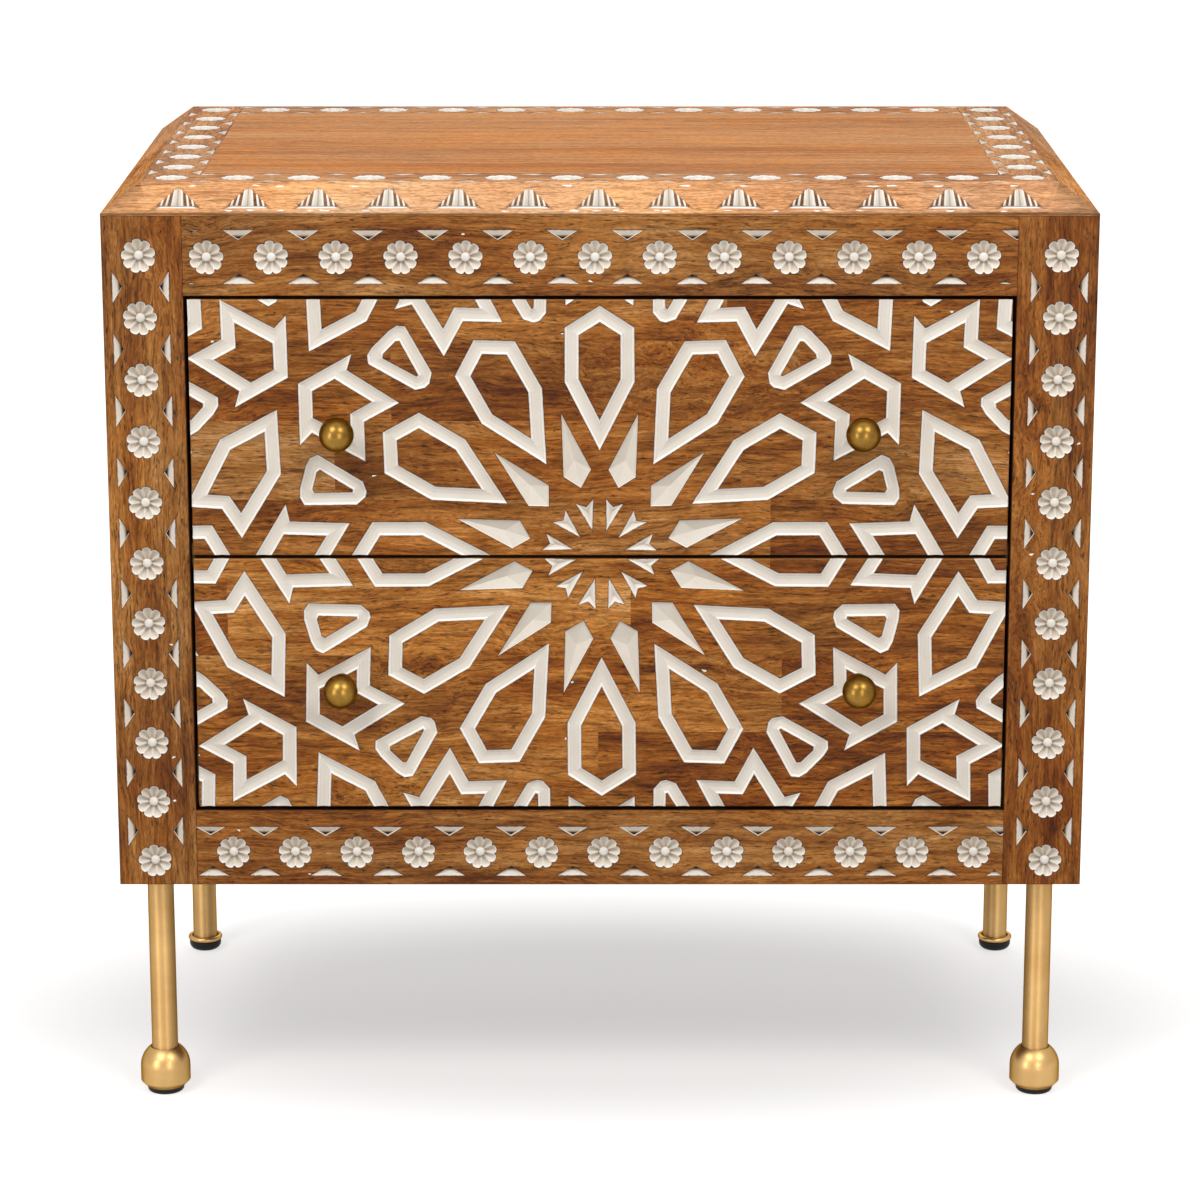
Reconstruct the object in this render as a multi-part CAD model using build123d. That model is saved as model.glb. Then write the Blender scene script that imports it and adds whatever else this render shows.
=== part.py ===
from build123d import *
import math
import os

os.makedirs("parts", exist_ok=True)

# A chest of two drawers: a hardwood case with a bevelled top, on four brass tube legs.
# Millimetres.  +Z is up and the front faces -Y.  The origin lies under the middle of the
# whole object, knobs included, at the level that the feet stand on.

# ---------------------------------------------------------------- driving dimensions
# Case
BODY_WIDTH = 800
BODY_DEPTH = 480
BODY_HEIGHT = 585          # from the underside of the case to the top
LEG_HEIGHT = 195           # from the floor to the underside of the case

# Top: a plain panel in a frame of four border boards
TOP_THICKNESS = 23
BEVEL_WIDTH = 30           # the sloped edge, seen from above
BEVEL_DROP = 21
BORDER_WIDTH = 46          # the flat part of a border board
TONGUE_LENGTH = 8          # the centre panel's tongue, all round it
TONGUE_THICKNESS = 6

# Face frame
FRAME_THICKNESS = 22
STILE_WIDTH = 65
RAIL_HEIGHT = 65
TENON_LENGTH = 24
TENON_THICKNESS = 8
TENON_HEIGHT = 45

# Panels and rails of the case
SIDE_THICKNESS = 20
BOTTOM_THICKNESS = 18
BACK_THICKNESS = 6
BACK_REBATE_WIDTH = 10     # how far the back panel reaches over each side panel
REAR_RAIL_THICKNESS = 20
REAR_RAIL_HEIGHT = 60
DIVIDER_DEPTH = 40
DIVIDER_THICKNESS = 20

# Drawers
DRAWER_COUNT = 2
FRONT_GAP = 3              # round each drawer front
FRONT_THICKNESS = 22
FRONT_EDGE_RADIUS = 1.5
BOX_SIDE_CLEARANCE = 4     # between the drawer box and the frame's opening, each side
BOX_SIDE_THICKNESS = 14
BOX_RAISE = 12             # from the lower edge of a front to the lower edge of its box
BOX_DROP = 19.5            # from the upper edge of a front to the upper edge of its box
BOX_BACK_GAP = 42          # from the shut drawer to the back panel
PANEL_THICKNESS = 6        # the drawer's bottom panel
PANEL_RAISE = 8            # from the lower edge of the box to the panel
GROOVE_DEPTH = 6

# Runners
LEDGE_THICKNESS = 18
LEDGE_OVERLAP = 2          # how far a ledge reaches inside the drawer side that it carries
FENCE_HEIGHT = 30
SLIDE_CLEARANCE = 0.3      # under a drawer side
GUIDE_CLEARANCE = 1.0      # beside a drawer side
STOP_LENGTH = 12
STOP_HEIGHT = 25
STOP_GAP = 1.0             # between a stop and the shut drawer
RUNNER_SCREWS = 3          # in each runner

# Knobs
KNOB_X = 212               # from the middle of the front
BALL_RADIUS = 14
BALL_CENTRE = 24           # in front of the drawer front
NECK_RADIUS = 6
FLANGE_RADIUS = 9
FLANGE_THICKNESS = 2.5
KNOB_SCREW_RADIUS = 2
KNOB_SCREW_DEPTH = 12      # into the knob
KNOB_SCREW_HEAD_RADIUS = 4.5
KNOB_SCREW_HEAD_HEIGHT = 2.4

# Legs
TUBE_RADIUS = 11
TUBE_WALL = 1.5
LEG_INSET_SIDE = 30        # from the side of the case to the middle of a tube
LEG_INSET_FRONT = 36
LEG_INSET_BACK = 80
PLATE_SIZE = 70
PLATE_THICKNESS = 3
PLATE_EDGE_SIDE = 26       # from the middle of the tube to the plate's outer edges
PLATE_EDGE_END = 12
PLATE_SCREW_INSET = 8

# Front feet: a dome cup on a pad
CUP_RADIUS = 21
CUP_BAND_HEIGHT = 13       # the straight part of the cup
CUP_TAPER_HEIGHT = 4.5
CUP_TAPER_RADIUS = 16.5    # the cup's lower rim
CUP_SOCKET_DEPTH = 20
FRONT_PAD_RADIUS = 15.5
FRONT_PAD_HEIGHT = 5
FRONT_PAD_TAPER = 1.5
FRONT_STUD_RADIUS = 5
FRONT_STUD_LENGTH = 6

# Rear feet: a collar round the tube on a tapered pad
COLLAR_RADIUS = 15.75
COLLAR_HEIGHT = 9
COLLAR_EDGE = 2.5
REAR_PAD_RADIUS = 14.5
REAR_PAD_HEIGHT = 9
REAR_PAD_TAPER = 3.5
REAR_STUD_LENGTH = 14

# Wood screws
WOOD_SCREW_RADIUS = 2
WOOD_SCREW_LENGTH = 16
WOOD_SCREW_HEAD_RADIUS = 3.8
WOOD_SCREW_HEAD_HEIGHT = 2.2

# Clearances of the fixed joints
JOINT_CLEARANCE = 0.1      # round tenons, studs and screws
TONGUE_CLEARANCE = 0.2     # round tongues and panels that lie in grooves
MARGIN = 5                 # how far a cutting shape runs past what it cuts

# ------------------------------------------------------------------- derived places
KNOB_REACH = BALL_CENTRE + BALL_RADIUS
CASE_X = BODY_WIDTH / 2
FRONT_Y = (KNOB_REACH - BODY_DEPTH) / 2
BACK_Y = FRONT_Y + BODY_DEPTH
CASE_Z = LEG_HEIGHT
TOP_Z = LEG_HEIGHT + BODY_HEIGHT
FRAME_TOP_Z = TOP_Z - TOP_THICKNESS
FRAME_BACK_Y = FRONT_Y + FRAME_THICKNESS
SIDE_INNER_X = CASE_X - SIDE_THICKNESS
BACK_PANEL_Y = BACK_Y - BACK_THICKNESS
PANEL_TOP_Z = CASE_Z + BOTTOM_THICKNESS

OPENING_X = CASE_X - STILE_WIDTH
OPENING_LOW_Z = CASE_Z + RAIL_HEIGHT
OPENING_HIGH_Z = FRAME_TOP_Z - RAIL_HEIGHT
OPENING_HEIGHT = OPENING_HIGH_Z - OPENING_LOW_Z

FRONT_X = OPENING_X - FRONT_GAP
FRONT_HEIGHT = (OPENING_HEIGHT - (DRAWER_COUNT + 1) * FRONT_GAP) / DRAWER_COUNT
FRONT_PITCH = FRONT_HEIGHT + FRONT_GAP
FRONT_BACK_Y = FRONT_Y + FRONT_THICKNESS
BOX_X = OPENING_X - BOX_SIDE_CLEARANCE
BOX_INNER_X = BOX_X - BOX_SIDE_THICKNESS
BOX_SIDE_HEIGHT = FRONT_HEIGHT - BOX_RAISE - BOX_DROP
BOX_BACK_Y = BACK_PANEL_Y - BOX_BACK_GAP
DIVIDER_Y = max(FRAME_BACK_Y, FRONT_BACK_Y) + STOP_GAP


# -------------------------------------------------------------------- small helpers
def board(low, high):
    """A square-edged board between its lowest and its highest corner."""
    size = [b - a for a, b in zip(low, high)]
    middle = [(a + b) / 2 for a, b in zip(low, high)]
    return Pos(*middle) * Box(*size)


def grown(low, high, clearance):
    """The board between two corners, larger by a clearance on every side."""
    return board([a - clearance for a in low], [b + clearance for b in high])


def rod(x, y, z_low, z_high, radius):
    """An upright cylinder."""
    height = z_high - z_low
    return Pos(x, y, (z_low + z_high) / 2) * Cylinder(radius, height)


def turned(points):
    """A solid turned about Z from the (radius, height) points of half its section."""
    section = Plane.XZ * Polygon(*points, align=None)
    return revolve(section, Axis.Z)


def mirrored_x(low, high):
    """The corners of a board mirrored to the other side of the case."""
    return (-high[0], low[1], low[2]), (-low[0], high[1], high[2])


def on_side(side, low, high):
    """The corners of a board on the left (-1) or right (+1) side, given for the right."""
    return (low, high) if side > 0 else mirrored_x(low, high)


def wood_screw(clearance=0.0):
    """A countersunk screw that points up from its head's face at the origin.

    With a clearance it is the hole for that screw.
    """
    head = WOOD_SCREW_HEAD_RADIUS + clearance
    shank = WOOD_SCREW_RADIUS + clearance
    tip = WOOD_SCREW_LENGTH + clearance
    points = [
        (0, 0),
        (head, 0),
        (shank, WOOD_SCREW_HEAD_HEIGHT + clearance),
        (shank, tip - shank),
        (0, tip),
    ]
    return turned(points)


SIDES = {"left": -1, "right": 1}
nodes = {}


# ------------------------------------------------------------------------------ top
def bevel_section(edge, inward):
    """The corner that a bevel takes off, as (across, height) points.

    edge is where the board ends, and inward is the direction from there to its middle.
    """
    slope = BEVEL_DROP / BEVEL_WIDTH
    outer = edge - inward * MARGIN
    inner = edge + inward * (BEVEL_WIDTH + MARGIN)
    low = TOP_Z - BEVEL_DROP - slope * MARGIN
    high = TOP_Z + slope * MARGIN
    return [(outer, low), (inner, high), (outer, high)]


def make_top():
    """The four border boards, mitred at the front, and the panel that they hold."""
    board_width = BEVEL_WIDTH + BORDER_WIDTH
    panel_low = (-CASE_X + board_width, FRONT_Y + board_width, FRAME_TOP_Z)
    panel_high = (CASE_X - board_width, BACK_Y - BORDER_WIDTH, TOP_Z)
    tongue_z = FRAME_TOP_Z + (TOP_THICKNESS - TONGUE_THICKNESS) / 2
    tongue_low = (panel_low[0] - TONGUE_LENGTH, panel_low[1] - TONGUE_LENGTH, tongue_z)
    tongue_high = (
        panel_high[0] + TONGUE_LENGTH,
        panel_high[1] + TONGUE_LENGTH,
        tongue_z + TONGUE_THICKNESS,
    )
    nodes["top_panel"] = board(panel_low, panel_high) + board(tongue_low, tongue_high)

    slab = board((-CASE_X, FRONT_Y, FRAME_TOP_Z), (CASE_X, BACK_Y, TOP_Z))
    front_cut = Plane.YZ * Polygon(*bevel_section(FRONT_Y, 1), align=None)
    slab -= extrude(front_cut, amount=CASE_X + MARGIN, both=True)
    for side in SIDES.values():
        side_cut = Plane.XZ * Polygon(*bevel_section(side * CASE_X, -side), align=None)
        slab -= extrude(side_cut, amount=BODY_DEPTH, both=True)
    slab -= board(panel_low, panel_high)
    slab -= grown(tongue_low, tongue_high, TONGUE_CLEARANCE)

    front_plan = [
        (-CASE_X, FRONT_Y),
        (CASE_X, FRONT_Y),
        (panel_high[0], panel_low[1]),
        (panel_low[0], panel_low[1]),
    ]
    nodes["top_border_front"] = slab & plan_block(front_plan)
    for name, side in SIDES.items():
        inner = side * panel_high[0]
        side_plan = [
            (side * CASE_X, FRONT_Y),
            (inner, panel_low[1]),
            (inner, BACK_Y),
            (side * CASE_X, BACK_Y),
        ]
        nodes["top_border_" + name] = slab & plan_block(side_plan)
    back_low = (panel_low[0], panel_high[1], FRAME_TOP_Z)
    back_high = (panel_high[0], BACK_Y, TOP_Z)
    nodes["top_border_back"] = slab & board(back_low, back_high)


def plan_block(points):
    """A block as thick as the top over an outline that is seen from above."""
    outline = Pos(0, 0, FRAME_TOP_Z) * Polygon(*points, align=None)
    return extrude(outline, amount=TOP_THICKNESS, dir=(0, 0, 1))


# ----------------------------------------------------------------------- face frame
def make_face_frame():
    """Two stiles of full height and two rails that are tenoned into them."""
    rails = {"bottom": CASE_Z, "top": FRAME_TOP_Z - RAIL_HEIGHT}
    middle_y = FRONT_Y + FRAME_THICKNESS / 2
    tenons = []
    for name, low_z in rails.items():
        rail = board(
            (-OPENING_X, FRONT_Y, low_z),
            (OPENING_X, FRAME_BACK_Y, low_z + RAIL_HEIGHT),
        )
        middle_z = low_z + RAIL_HEIGHT / 2
        tenon_low = (
            -OPENING_X - TENON_LENGTH,
            middle_y - TENON_THICKNESS / 2,
            middle_z - TENON_HEIGHT / 2,
        )
        tenon_high = (
            OPENING_X + TENON_LENGTH,
            middle_y + TENON_THICKNESS / 2,
            middle_z + TENON_HEIGHT / 2,
        )
        tenons.append((tenon_low, tenon_high))
        nodes["front_rail_" + name] = rail + board(tenon_low, tenon_high)
    for name, side in SIDES.items():
        low = (OPENING_X, FRONT_Y, CASE_Z)
        high = (CASE_X, FRAME_BACK_Y, FRAME_TOP_Z)
        stile = board(*on_side(side, low, high))
        for tenon in tenons:
            stile -= grown(*tenon, JOINT_CLEARANCE)
        nodes["front_stile_" + name] = stile


# ----------------------------------------------------------------------------- case
def make_case():
    """The panels behind the face frame and the rails between them."""
    nodes["bottom_panel"] = board(
        (-CASE_X, FRAME_BACK_Y, CASE_Z), (CASE_X, BACK_Y, PANEL_TOP_Z)
    )
    rebate_x = CASE_X - BACK_REBATE_WIDTH
    for name, side in SIDES.items():
        low = (SIDE_INNER_X, FRAME_BACK_Y, PANEL_TOP_Z)
        high = (CASE_X, BACK_Y, FRAME_TOP_Z)
        rebate_low = (SIDE_INNER_X - MARGIN, BACK_PANEL_Y, PANEL_TOP_Z - MARGIN)
        rebate_high = (rebate_x, BACK_Y + MARGIN, FRAME_TOP_Z + MARGIN)
        panel = board(*on_side(side, low, high))
        nodes["side_panel_" + name] = panel - board(*on_side(side, rebate_low, rebate_high))
    nodes["back_panel"] = board(
        (-rebate_x, BACK_PANEL_Y, PANEL_TOP_Z), (rebate_x, BACK_Y, FRAME_TOP_Z)
    )
    nodes["rear_top_rail"] = board(
        (-SIDE_INNER_X, BACK_PANEL_Y - REAR_RAIL_THICKNESS, FRAME_TOP_Z - REAR_RAIL_HEIGHT),
        (SIDE_INNER_X, BACK_PANEL_Y, FRAME_TOP_Z),
    )
    # The divider lies behind both fronts, midway between the two drawer boxes.
    lower_box_top = drawer_low_z(0) + FRONT_HEIGHT - BOX_DROP
    upper_box_bottom = drawer_low_z(1) + BOX_RAISE
    divider_low = (lower_box_top + upper_box_bottom - DIVIDER_THICKNESS) / 2
    nodes["divider_rail"] = board(
        (-SIDE_INNER_X, DIVIDER_Y, divider_low),
        (SIDE_INNER_X, DIVIDER_Y + DIVIDER_DEPTH, divider_low + DIVIDER_THICKNESS),
    )


# -------------------------------------------------------------------------- drawers
def drawer_low_z(index):
    """The lower edge of a drawer front, counted from the bottom."""
    return OPENING_LOW_Z + FRONT_GAP + index * FRONT_PITCH


def make_drawer(name, index):
    """A carved front, a box of three boards and a panel, two knobs and their screws."""
    front_z = drawer_low_z(index)
    box_z = front_z + BOX_RAISE
    panel_z = box_z + PANEL_RAISE
    knob_z = front_z + FRONT_HEIGHT / 2

    panel_low = (-BOX_INNER_X - GROOVE_DEPTH, FRONT_BACK_Y - GROOVE_DEPTH, panel_z)
    panel_high = (BOX_INNER_X + GROOVE_DEPTH, BOX_BACK_Y, panel_z + PANEL_THICKNESS)
    groove = grown(panel_low, panel_high, TONGUE_CLEARANCE)
    panel_top = panel_high[2]

    front = board(
        (-FRONT_X, FRONT_Y, front_z),
        (FRONT_X, FRONT_BACK_Y, front_z + FRONT_HEIGHT),
    )
    face_edges = front.faces().sort_by(Axis.Y)[0].edges()
    front = fillet(face_edges, min(FRONT_EDGE_RADIUS, FRONT_THICKNESS / 4))
    front -= groove
    screw_radius = KNOB_SCREW_RADIUS + JOINT_CLEARANCE
    for side in SIDES.values():
        hole = Cylinder(screw_radius, 2 * FRONT_THICKNESS + MARGIN)
        front -= Pos(side * KNOB_X, FRONT_Y, knob_z) * (Rot(90, 0, 0) * hole)
    nodes[name + "_drawer_front"] = front

    for side_name, side in SIDES.items():
        low = (BOX_INNER_X, FRONT_BACK_Y, box_z)
        high = (BOX_X, BOX_BACK_Y, box_z + BOX_SIDE_HEIGHT)
        box_side = board(*on_side(side, low, high)) - groove
        nodes[name + "_drawer_side_" + side_name] = box_side
    nodes[name + "_drawer_back"] = board(
        (-BOX_INNER_X, BOX_BACK_Y - BOX_SIDE_THICKNESS, panel_top),
        (BOX_INNER_X, BOX_BACK_Y, box_z + BOX_SIDE_HEIGHT),
    )
    nodes[name + "_drawer_bottom"] = board(panel_low, panel_high)

    screws = []
    for side_name, side in SIDES.items():
        place = Pos(side * KNOB_X, FRONT_Y, knob_z) * Rot(90, 0, 0)
        nodes[name + "_knob_" + side_name] = place * knob()
        screws.append(place * knob_screw())
    nodes[name + "_knob_screws"] = Compound(screws)


def knob():
    """A ball on a neck and a small flange, on the origin, pointing up Z."""
    ball = Pos(0, 0, BALL_CENTRE) * Sphere(BALL_RADIUS)
    neck = rod(0, 0, 0, BALL_CENTRE, NECK_RADIUS)
    flange = rod(0, 0, 0, FLANGE_THICKNESS, FLANGE_RADIUS)
    hole_depth = KNOB_SCREW_DEPTH + JOINT_CLEARANCE
    hole = rod(0, 0, -MARGIN, hole_depth, KNOB_SCREW_RADIUS + JOINT_CLEARANCE)
    return ball + neck + flange - hole


def knob_screw():
    """The machine screw that reaches through a front from behind into its knob."""
    head_z = -FRONT_THICKNESS
    head = rod(0, 0, head_z - KNOB_SCREW_HEAD_HEIGHT, head_z, KNOB_SCREW_HEAD_RADIUS)
    return head + rod(0, 0, head_z, KNOB_SCREW_DEPTH, KNOB_SCREW_RADIUS)


# -------------------------------------------------------------------------- runners
def make_runners():
    """A rebated runner at each side of each drawer, with its screws and stop block."""
    screws = []
    stops = []
    # The upper runners start behind the divider rail, the lower ones at the face frame.
    starts = {"lower": FRAME_BACK_Y, "upper": DIVIDER_Y + DIVIDER_DEPTH}
    ledge_x = BOX_INNER_X - LEDGE_OVERLAP
    fence_x = BOX_X + GUIDE_CLEARANCE
    for index, (name, start_y) in enumerate(starts.items()):
        ledge_top = drawer_low_z(index) + BOX_RAISE - SLIDE_CLEARANCE
        ledge_low = ledge_top - LEDGE_THICKNESS
        stop_y = BOX_BACK_Y + STOP_GAP
        for side_name, side in SIDES.items():
            ledge = on_side(
                side,
                (ledge_x, start_y, ledge_low),
                (SIDE_INNER_X, BACK_PANEL_Y, ledge_top),
            )
            fence = on_side(
                side,
                (fence_x, start_y, ledge_top),
                (SIDE_INNER_X, BACK_PANEL_Y, ledge_top + FENCE_HEIGHT),
            )
            stop = on_side(
                side,
                (BOX_INNER_X, stop_y, ledge_top),
                (BOX_X, stop_y + STOP_LENGTH, ledge_top + STOP_HEIGHT),
            )
            runner = board(*ledge) + board(*fence)
            stops.append(board(*stop))
            for place in runner_screw_places(side, start_y, ledge_top):
                runner -= place * (wood_screw(JOINT_CLEARANCE) + counterbore())
                nodes["side_panel_" + side_name] -= place * wood_screw(JOINT_CLEARANCE)
                screws.append(place * wood_screw())
            nodes[name + "_runner_" + side_name] = runner
    nodes["runner_screws"] = Compound(screws)
    nodes["drawer_stops"] = Compound(stops)


def runner_screw_places(side, start_y, ledge_top):
    """The heads of one runner's screws, at the foot of a counterbore in its fence."""
    head_x = side * (SIDE_INNER_X - WOOD_SCREW_LENGTH / 2)
    spacing = (BACK_PANEL_Y - start_y) / RUNNER_SCREWS
    middle_z = ledge_top + FENCE_HEIGHT / 2
    for count in range(RUNNER_SCREWS):
        y = start_y + (count + 0.5) * spacing
        yield Pos(head_x, y, middle_z) * Rot(0, 90 * side, 0)


def counterbore():
    """The hole in a fence that leads down to the head of a screw."""
    depth = SIDE_INNER_X - BOX_X + MARGIN
    return rod(0, 0, -depth, 0, WOOD_SCREW_HEAD_RADIUS + JOINT_CLEARANCE)


# ----------------------------------------------------------------------------- legs
def leg_plan():
    """Each leg's name, its middle in plan, and the way that its plate reaches."""
    rows = {
        "front": (FRONT_Y + LEG_INSET_FRONT, 1),
        "rear": (BACK_Y - LEG_INSET_BACK, -1),
    }
    for row, (y, inward_y) in rows.items():
        for side_name, side in SIDES.items():
            yield row, side_name, side * (CASE_X - LEG_INSET_SIDE), y, -side, inward_y


def make_legs():
    """Four tubes on plates that are let into the bottom panel, and their feet."""
    screws = []
    for row, side_name, x, y, inward_x, inward_y in leg_plan():
        name = row + "_" + side_name
        plate_x = x + inward_x * (PLATE_SIZE / 2 - PLATE_EDGE_SIDE)
        plate_y = y + inward_y * (PLATE_SIZE / 2 - PLATE_EDGE_END)
        low = (plate_x - PLATE_SIZE / 2, plate_y - PLATE_SIZE / 2, CASE_Z)
        high = (
            plate_x + PLATE_SIZE / 2,
            plate_y + PLATE_SIZE / 2,
            CASE_Z + PLATE_THICKNESS,
        )
        plate = board(low, high)
        nodes["bottom_panel"] -= plate
        reach = PLATE_SIZE / 2 - PLATE_SCREW_INSET
        for across in (-reach, reach):
            for along in (-reach, reach):
                place = Pos(plate_x + across, plate_y + along, CASE_Z)
                hole = place * wood_screw(JOINT_CLEARANCE)
                plate -= hole
                nodes["bottom_panel"] -= hole
                screws.append(place * wood_screw())
        nodes["leg_plate_" + name] = plate

        place = Pos(x, y, 0)
        if row == "front":
            tube_z = FRONT_PAD_HEIGHT + cup_height() - CUP_SOCKET_DEPTH
            nodes["foot_cup_" + name] = place * foot_cup()
            nodes["foot_pad_" + name] = place * front_pad()
        else:
            tube_z = REAR_PAD_HEIGHT
            nodes["foot_collar_" + name] = place * foot_collar()
            nodes["foot_pad_" + name] = place * rear_pad()
        tube = rod(x, y, tube_z, CASE_Z, TUBE_RADIUS)
        tube -= rod(x, y, tube_z - MARGIN, CASE_Z + MARGIN, TUBE_RADIUS - TUBE_WALL)
        nodes["leg_tube_" + name] = tube
    nodes["leg_plate_screws"] = Compound(screws)


def socket_radius():
    """The hole in a cup or collar that the tube goes into."""
    return TUBE_RADIUS + JOINT_CLEARANCE


def dome_height():
    """How far a dome of the cup's own radius rises before it meets the tube."""
    return math.sqrt(CUP_RADIUS**2 - socket_radius() ** 2)


def cup_height():
    """The whole height of a front foot's cup."""
    return CUP_TAPER_HEIGHT + CUP_BAND_HEIGHT + dome_height()


def foot_cup():
    """A cup with a tapered rim, a straight band and a domed shoulder."""
    rim_z = FRONT_PAD_HEIGHT
    band_z = rim_z + CUP_TAPER_HEIGHT
    dome_z = band_z + CUP_BAND_HEIGHT
    top_z = rim_z + cup_height()
    band = turned(
        [
            (0, rim_z),
            (CUP_TAPER_RADIUS, rim_z),
            (CUP_RADIUS, band_z),
            (CUP_RADIUS, dome_z),
            (0, dome_z),
        ]
    )
    dome = Pos(0, 0, dome_z) * Sphere(CUP_RADIUS)
    keep = rod(0, 0, dome_z, top_z, CUP_RADIUS + MARGIN)
    cup = band + (dome & keep)
    cup -= rod(0, 0, top_z - CUP_SOCKET_DEPTH, top_z + MARGIN, socket_radius())
    stud_top = rim_z + FRONT_STUD_LENGTH + JOINT_CLEARANCE
    return cup - rod(0, 0, rim_z - MARGIN, stud_top, FRONT_STUD_RADIUS + JOINT_CLEARANCE)


def front_pad():
    """A low rubber disc with a stud that is pressed up into the cup."""
    foot = turned(
        [
            (0, 0),
            (FRONT_PAD_RADIUS - FRONT_PAD_TAPER, 0),
            (FRONT_PAD_RADIUS, FRONT_PAD_TAPER),
            (FRONT_PAD_RADIUS, FRONT_PAD_HEIGHT),
            (0, FRONT_PAD_HEIGHT),
        ]
    )
    stud_top = FRONT_PAD_HEIGHT + FRONT_STUD_LENGTH
    return foot + rod(0, 0, FRONT_PAD_HEIGHT, stud_top, FRONT_STUD_RADIUS)


def foot_collar():
    """A low ring with a rounded upper edge, round the foot of a rear tube."""
    low_z = REAR_PAD_HEIGHT
    ring = rod(0, 0, low_z, low_z + COLLAR_HEIGHT, COLLAR_RADIUS)
    ring = fillet(ring.edges().sort_by(Axis.Z)[-1], COLLAR_EDGE)
    return ring - rod(0, 0, low_z - MARGIN, low_z + COLLAR_HEIGHT + MARGIN, socket_radius())


def rear_pad():
    """A tapered rubber foot with a stud up into the tube."""
    foot = turned(
        [
            (0, 0),
            (REAR_PAD_RADIUS - REAR_PAD_TAPER, 0),
            (REAR_PAD_RADIUS, REAR_PAD_HEIGHT),
            (0, REAR_PAD_HEIGHT),
        ]
    )
    stud_radius = TUBE_RADIUS - TUBE_WALL - JOINT_CLEARANCE
    return foot + rod(0, 0, REAR_PAD_HEIGHT, REAR_PAD_HEIGHT + REAR_STUD_LENGTH, stud_radius)


# ------------------------------------------------------------------------ the model
make_top()
make_face_frame()
make_case()
for drawer_index, drawer_name in enumerate(("lower", "upper")):
    make_drawer(drawer_name, drawer_index)
make_runners()
make_legs()

for node_name, shape in nodes.items():
    export_step(shape, "parts/" + node_name + ".step")
print(len(nodes), "sub-parts written")
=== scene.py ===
import math
import random

import bmesh
import bpy
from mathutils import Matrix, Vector
from mathutils.geometry import delaunay_2d_cdt


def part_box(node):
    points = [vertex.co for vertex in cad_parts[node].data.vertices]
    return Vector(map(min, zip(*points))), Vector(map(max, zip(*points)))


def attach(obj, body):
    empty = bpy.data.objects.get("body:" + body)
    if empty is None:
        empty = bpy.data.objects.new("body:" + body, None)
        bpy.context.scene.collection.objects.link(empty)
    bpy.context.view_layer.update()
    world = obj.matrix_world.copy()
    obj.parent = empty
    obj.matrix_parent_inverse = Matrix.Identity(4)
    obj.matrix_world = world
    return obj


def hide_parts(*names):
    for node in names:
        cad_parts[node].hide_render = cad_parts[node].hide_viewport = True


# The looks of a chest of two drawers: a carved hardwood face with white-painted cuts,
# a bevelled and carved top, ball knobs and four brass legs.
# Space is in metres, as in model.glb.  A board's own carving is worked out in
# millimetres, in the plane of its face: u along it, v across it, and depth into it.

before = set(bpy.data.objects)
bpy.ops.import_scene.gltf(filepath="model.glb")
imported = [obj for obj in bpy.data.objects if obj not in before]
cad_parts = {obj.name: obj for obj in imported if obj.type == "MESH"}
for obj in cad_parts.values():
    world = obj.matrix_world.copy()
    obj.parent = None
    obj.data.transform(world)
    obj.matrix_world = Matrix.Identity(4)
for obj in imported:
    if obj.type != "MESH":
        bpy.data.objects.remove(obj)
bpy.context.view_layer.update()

MM = 0.001
rng = random.Random(11)


# ======== Places from the parts of model.glb
def box_mm(node):
    """The lowest and highest corner of a node, in millimetres."""
    low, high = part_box(node)
    return low / MM, high / MM


FRAME_LOW, FRAME_HIGH = box_mm("front_rail_bottom")
STILE_LOW, STILE_HIGH = box_mm("front_stile_right")
FRONT_BORDER_LOW, FRONT_BORDER_HIGH = box_mm("top_border_front")
BACK_BORDER_HIGH = box_mm("top_border_back")[1]

FACE_Y = FRAME_LOW.y  # the front of the face frame and of the drawers
FACE_BACK_Y = FRAME_HIGH.y
CASE_X = STILE_HIGH.x  # half the width of the case
OPENING_X = STILE_LOW.x  # half the width of the drawer opening
TOP_Z = FRONT_BORDER_HIGH.z
TOP_UNDERSIDE_Z = FRONT_BORDER_LOW.z
BACK_Y = BACK_BORDER_HIGH.y
PANEL_X = BACK_BORDER_HIGH.x  # half the width of the plain panel of the top
SEAM_Z = (box_mm("lower_drawer_front")[1].z + box_mm("upper_drawer_front")[0].z) / 2

# ======== Sizes of the carving
BEVEL_WIDTH = 30.0  # the bevel of the top, seen from above
BEVEL_DROP = 21.0
BEVEL_LENGTH = math.hypot(BEVEL_WIDTH, BEVEL_DROP)
BORDER_WIDTH = CASE_X - BEVEL_WIDTH - PANEL_X
EDGE_DEPTH = 0.3  # how far the wood is eased at the edge of a cut
HALO_WIDTH = 0.9  # how far that easing reaches
BAND_WIDTH = 11.4  # a band: an outline of even width round an island
# The trough of a band, from an edge inwards: (distance, depth, painted shade), which greys the
# crease at the wall's foot and the floor
BAND_PROFILE = [(1.7, 1.65, 0.0), (2.1, 1.85, 0.7), (2.7, 2.05, 0.3), (5.2, 2.5, 0.34)]
DISH_WALL = 0.8  # a dish: steep walls, then facets to one deep point
DISH_WALL_DEPTH = 1.5
DISH_DEPTH = 5.2
DART_DEPTH = 2.8  # a dart: four facets that meet at one deep point
CHIP_WIDTH = 26.0  # the triangles between the flowers
CHIP_HEIGHT = 8.2
CHIP_DEPTH = 4.0
FLOOR_PAINTED_SHADE = 0.36  # painted shade on the level floor of a cut
SURFACE_LEVEL = (0.0, 0.0, 0.0)  # a level is (depth, stain and shade, painted shade)
EDGE_LEVEL = (EDGE_DEPTH, 1.0, 0.0)


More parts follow.
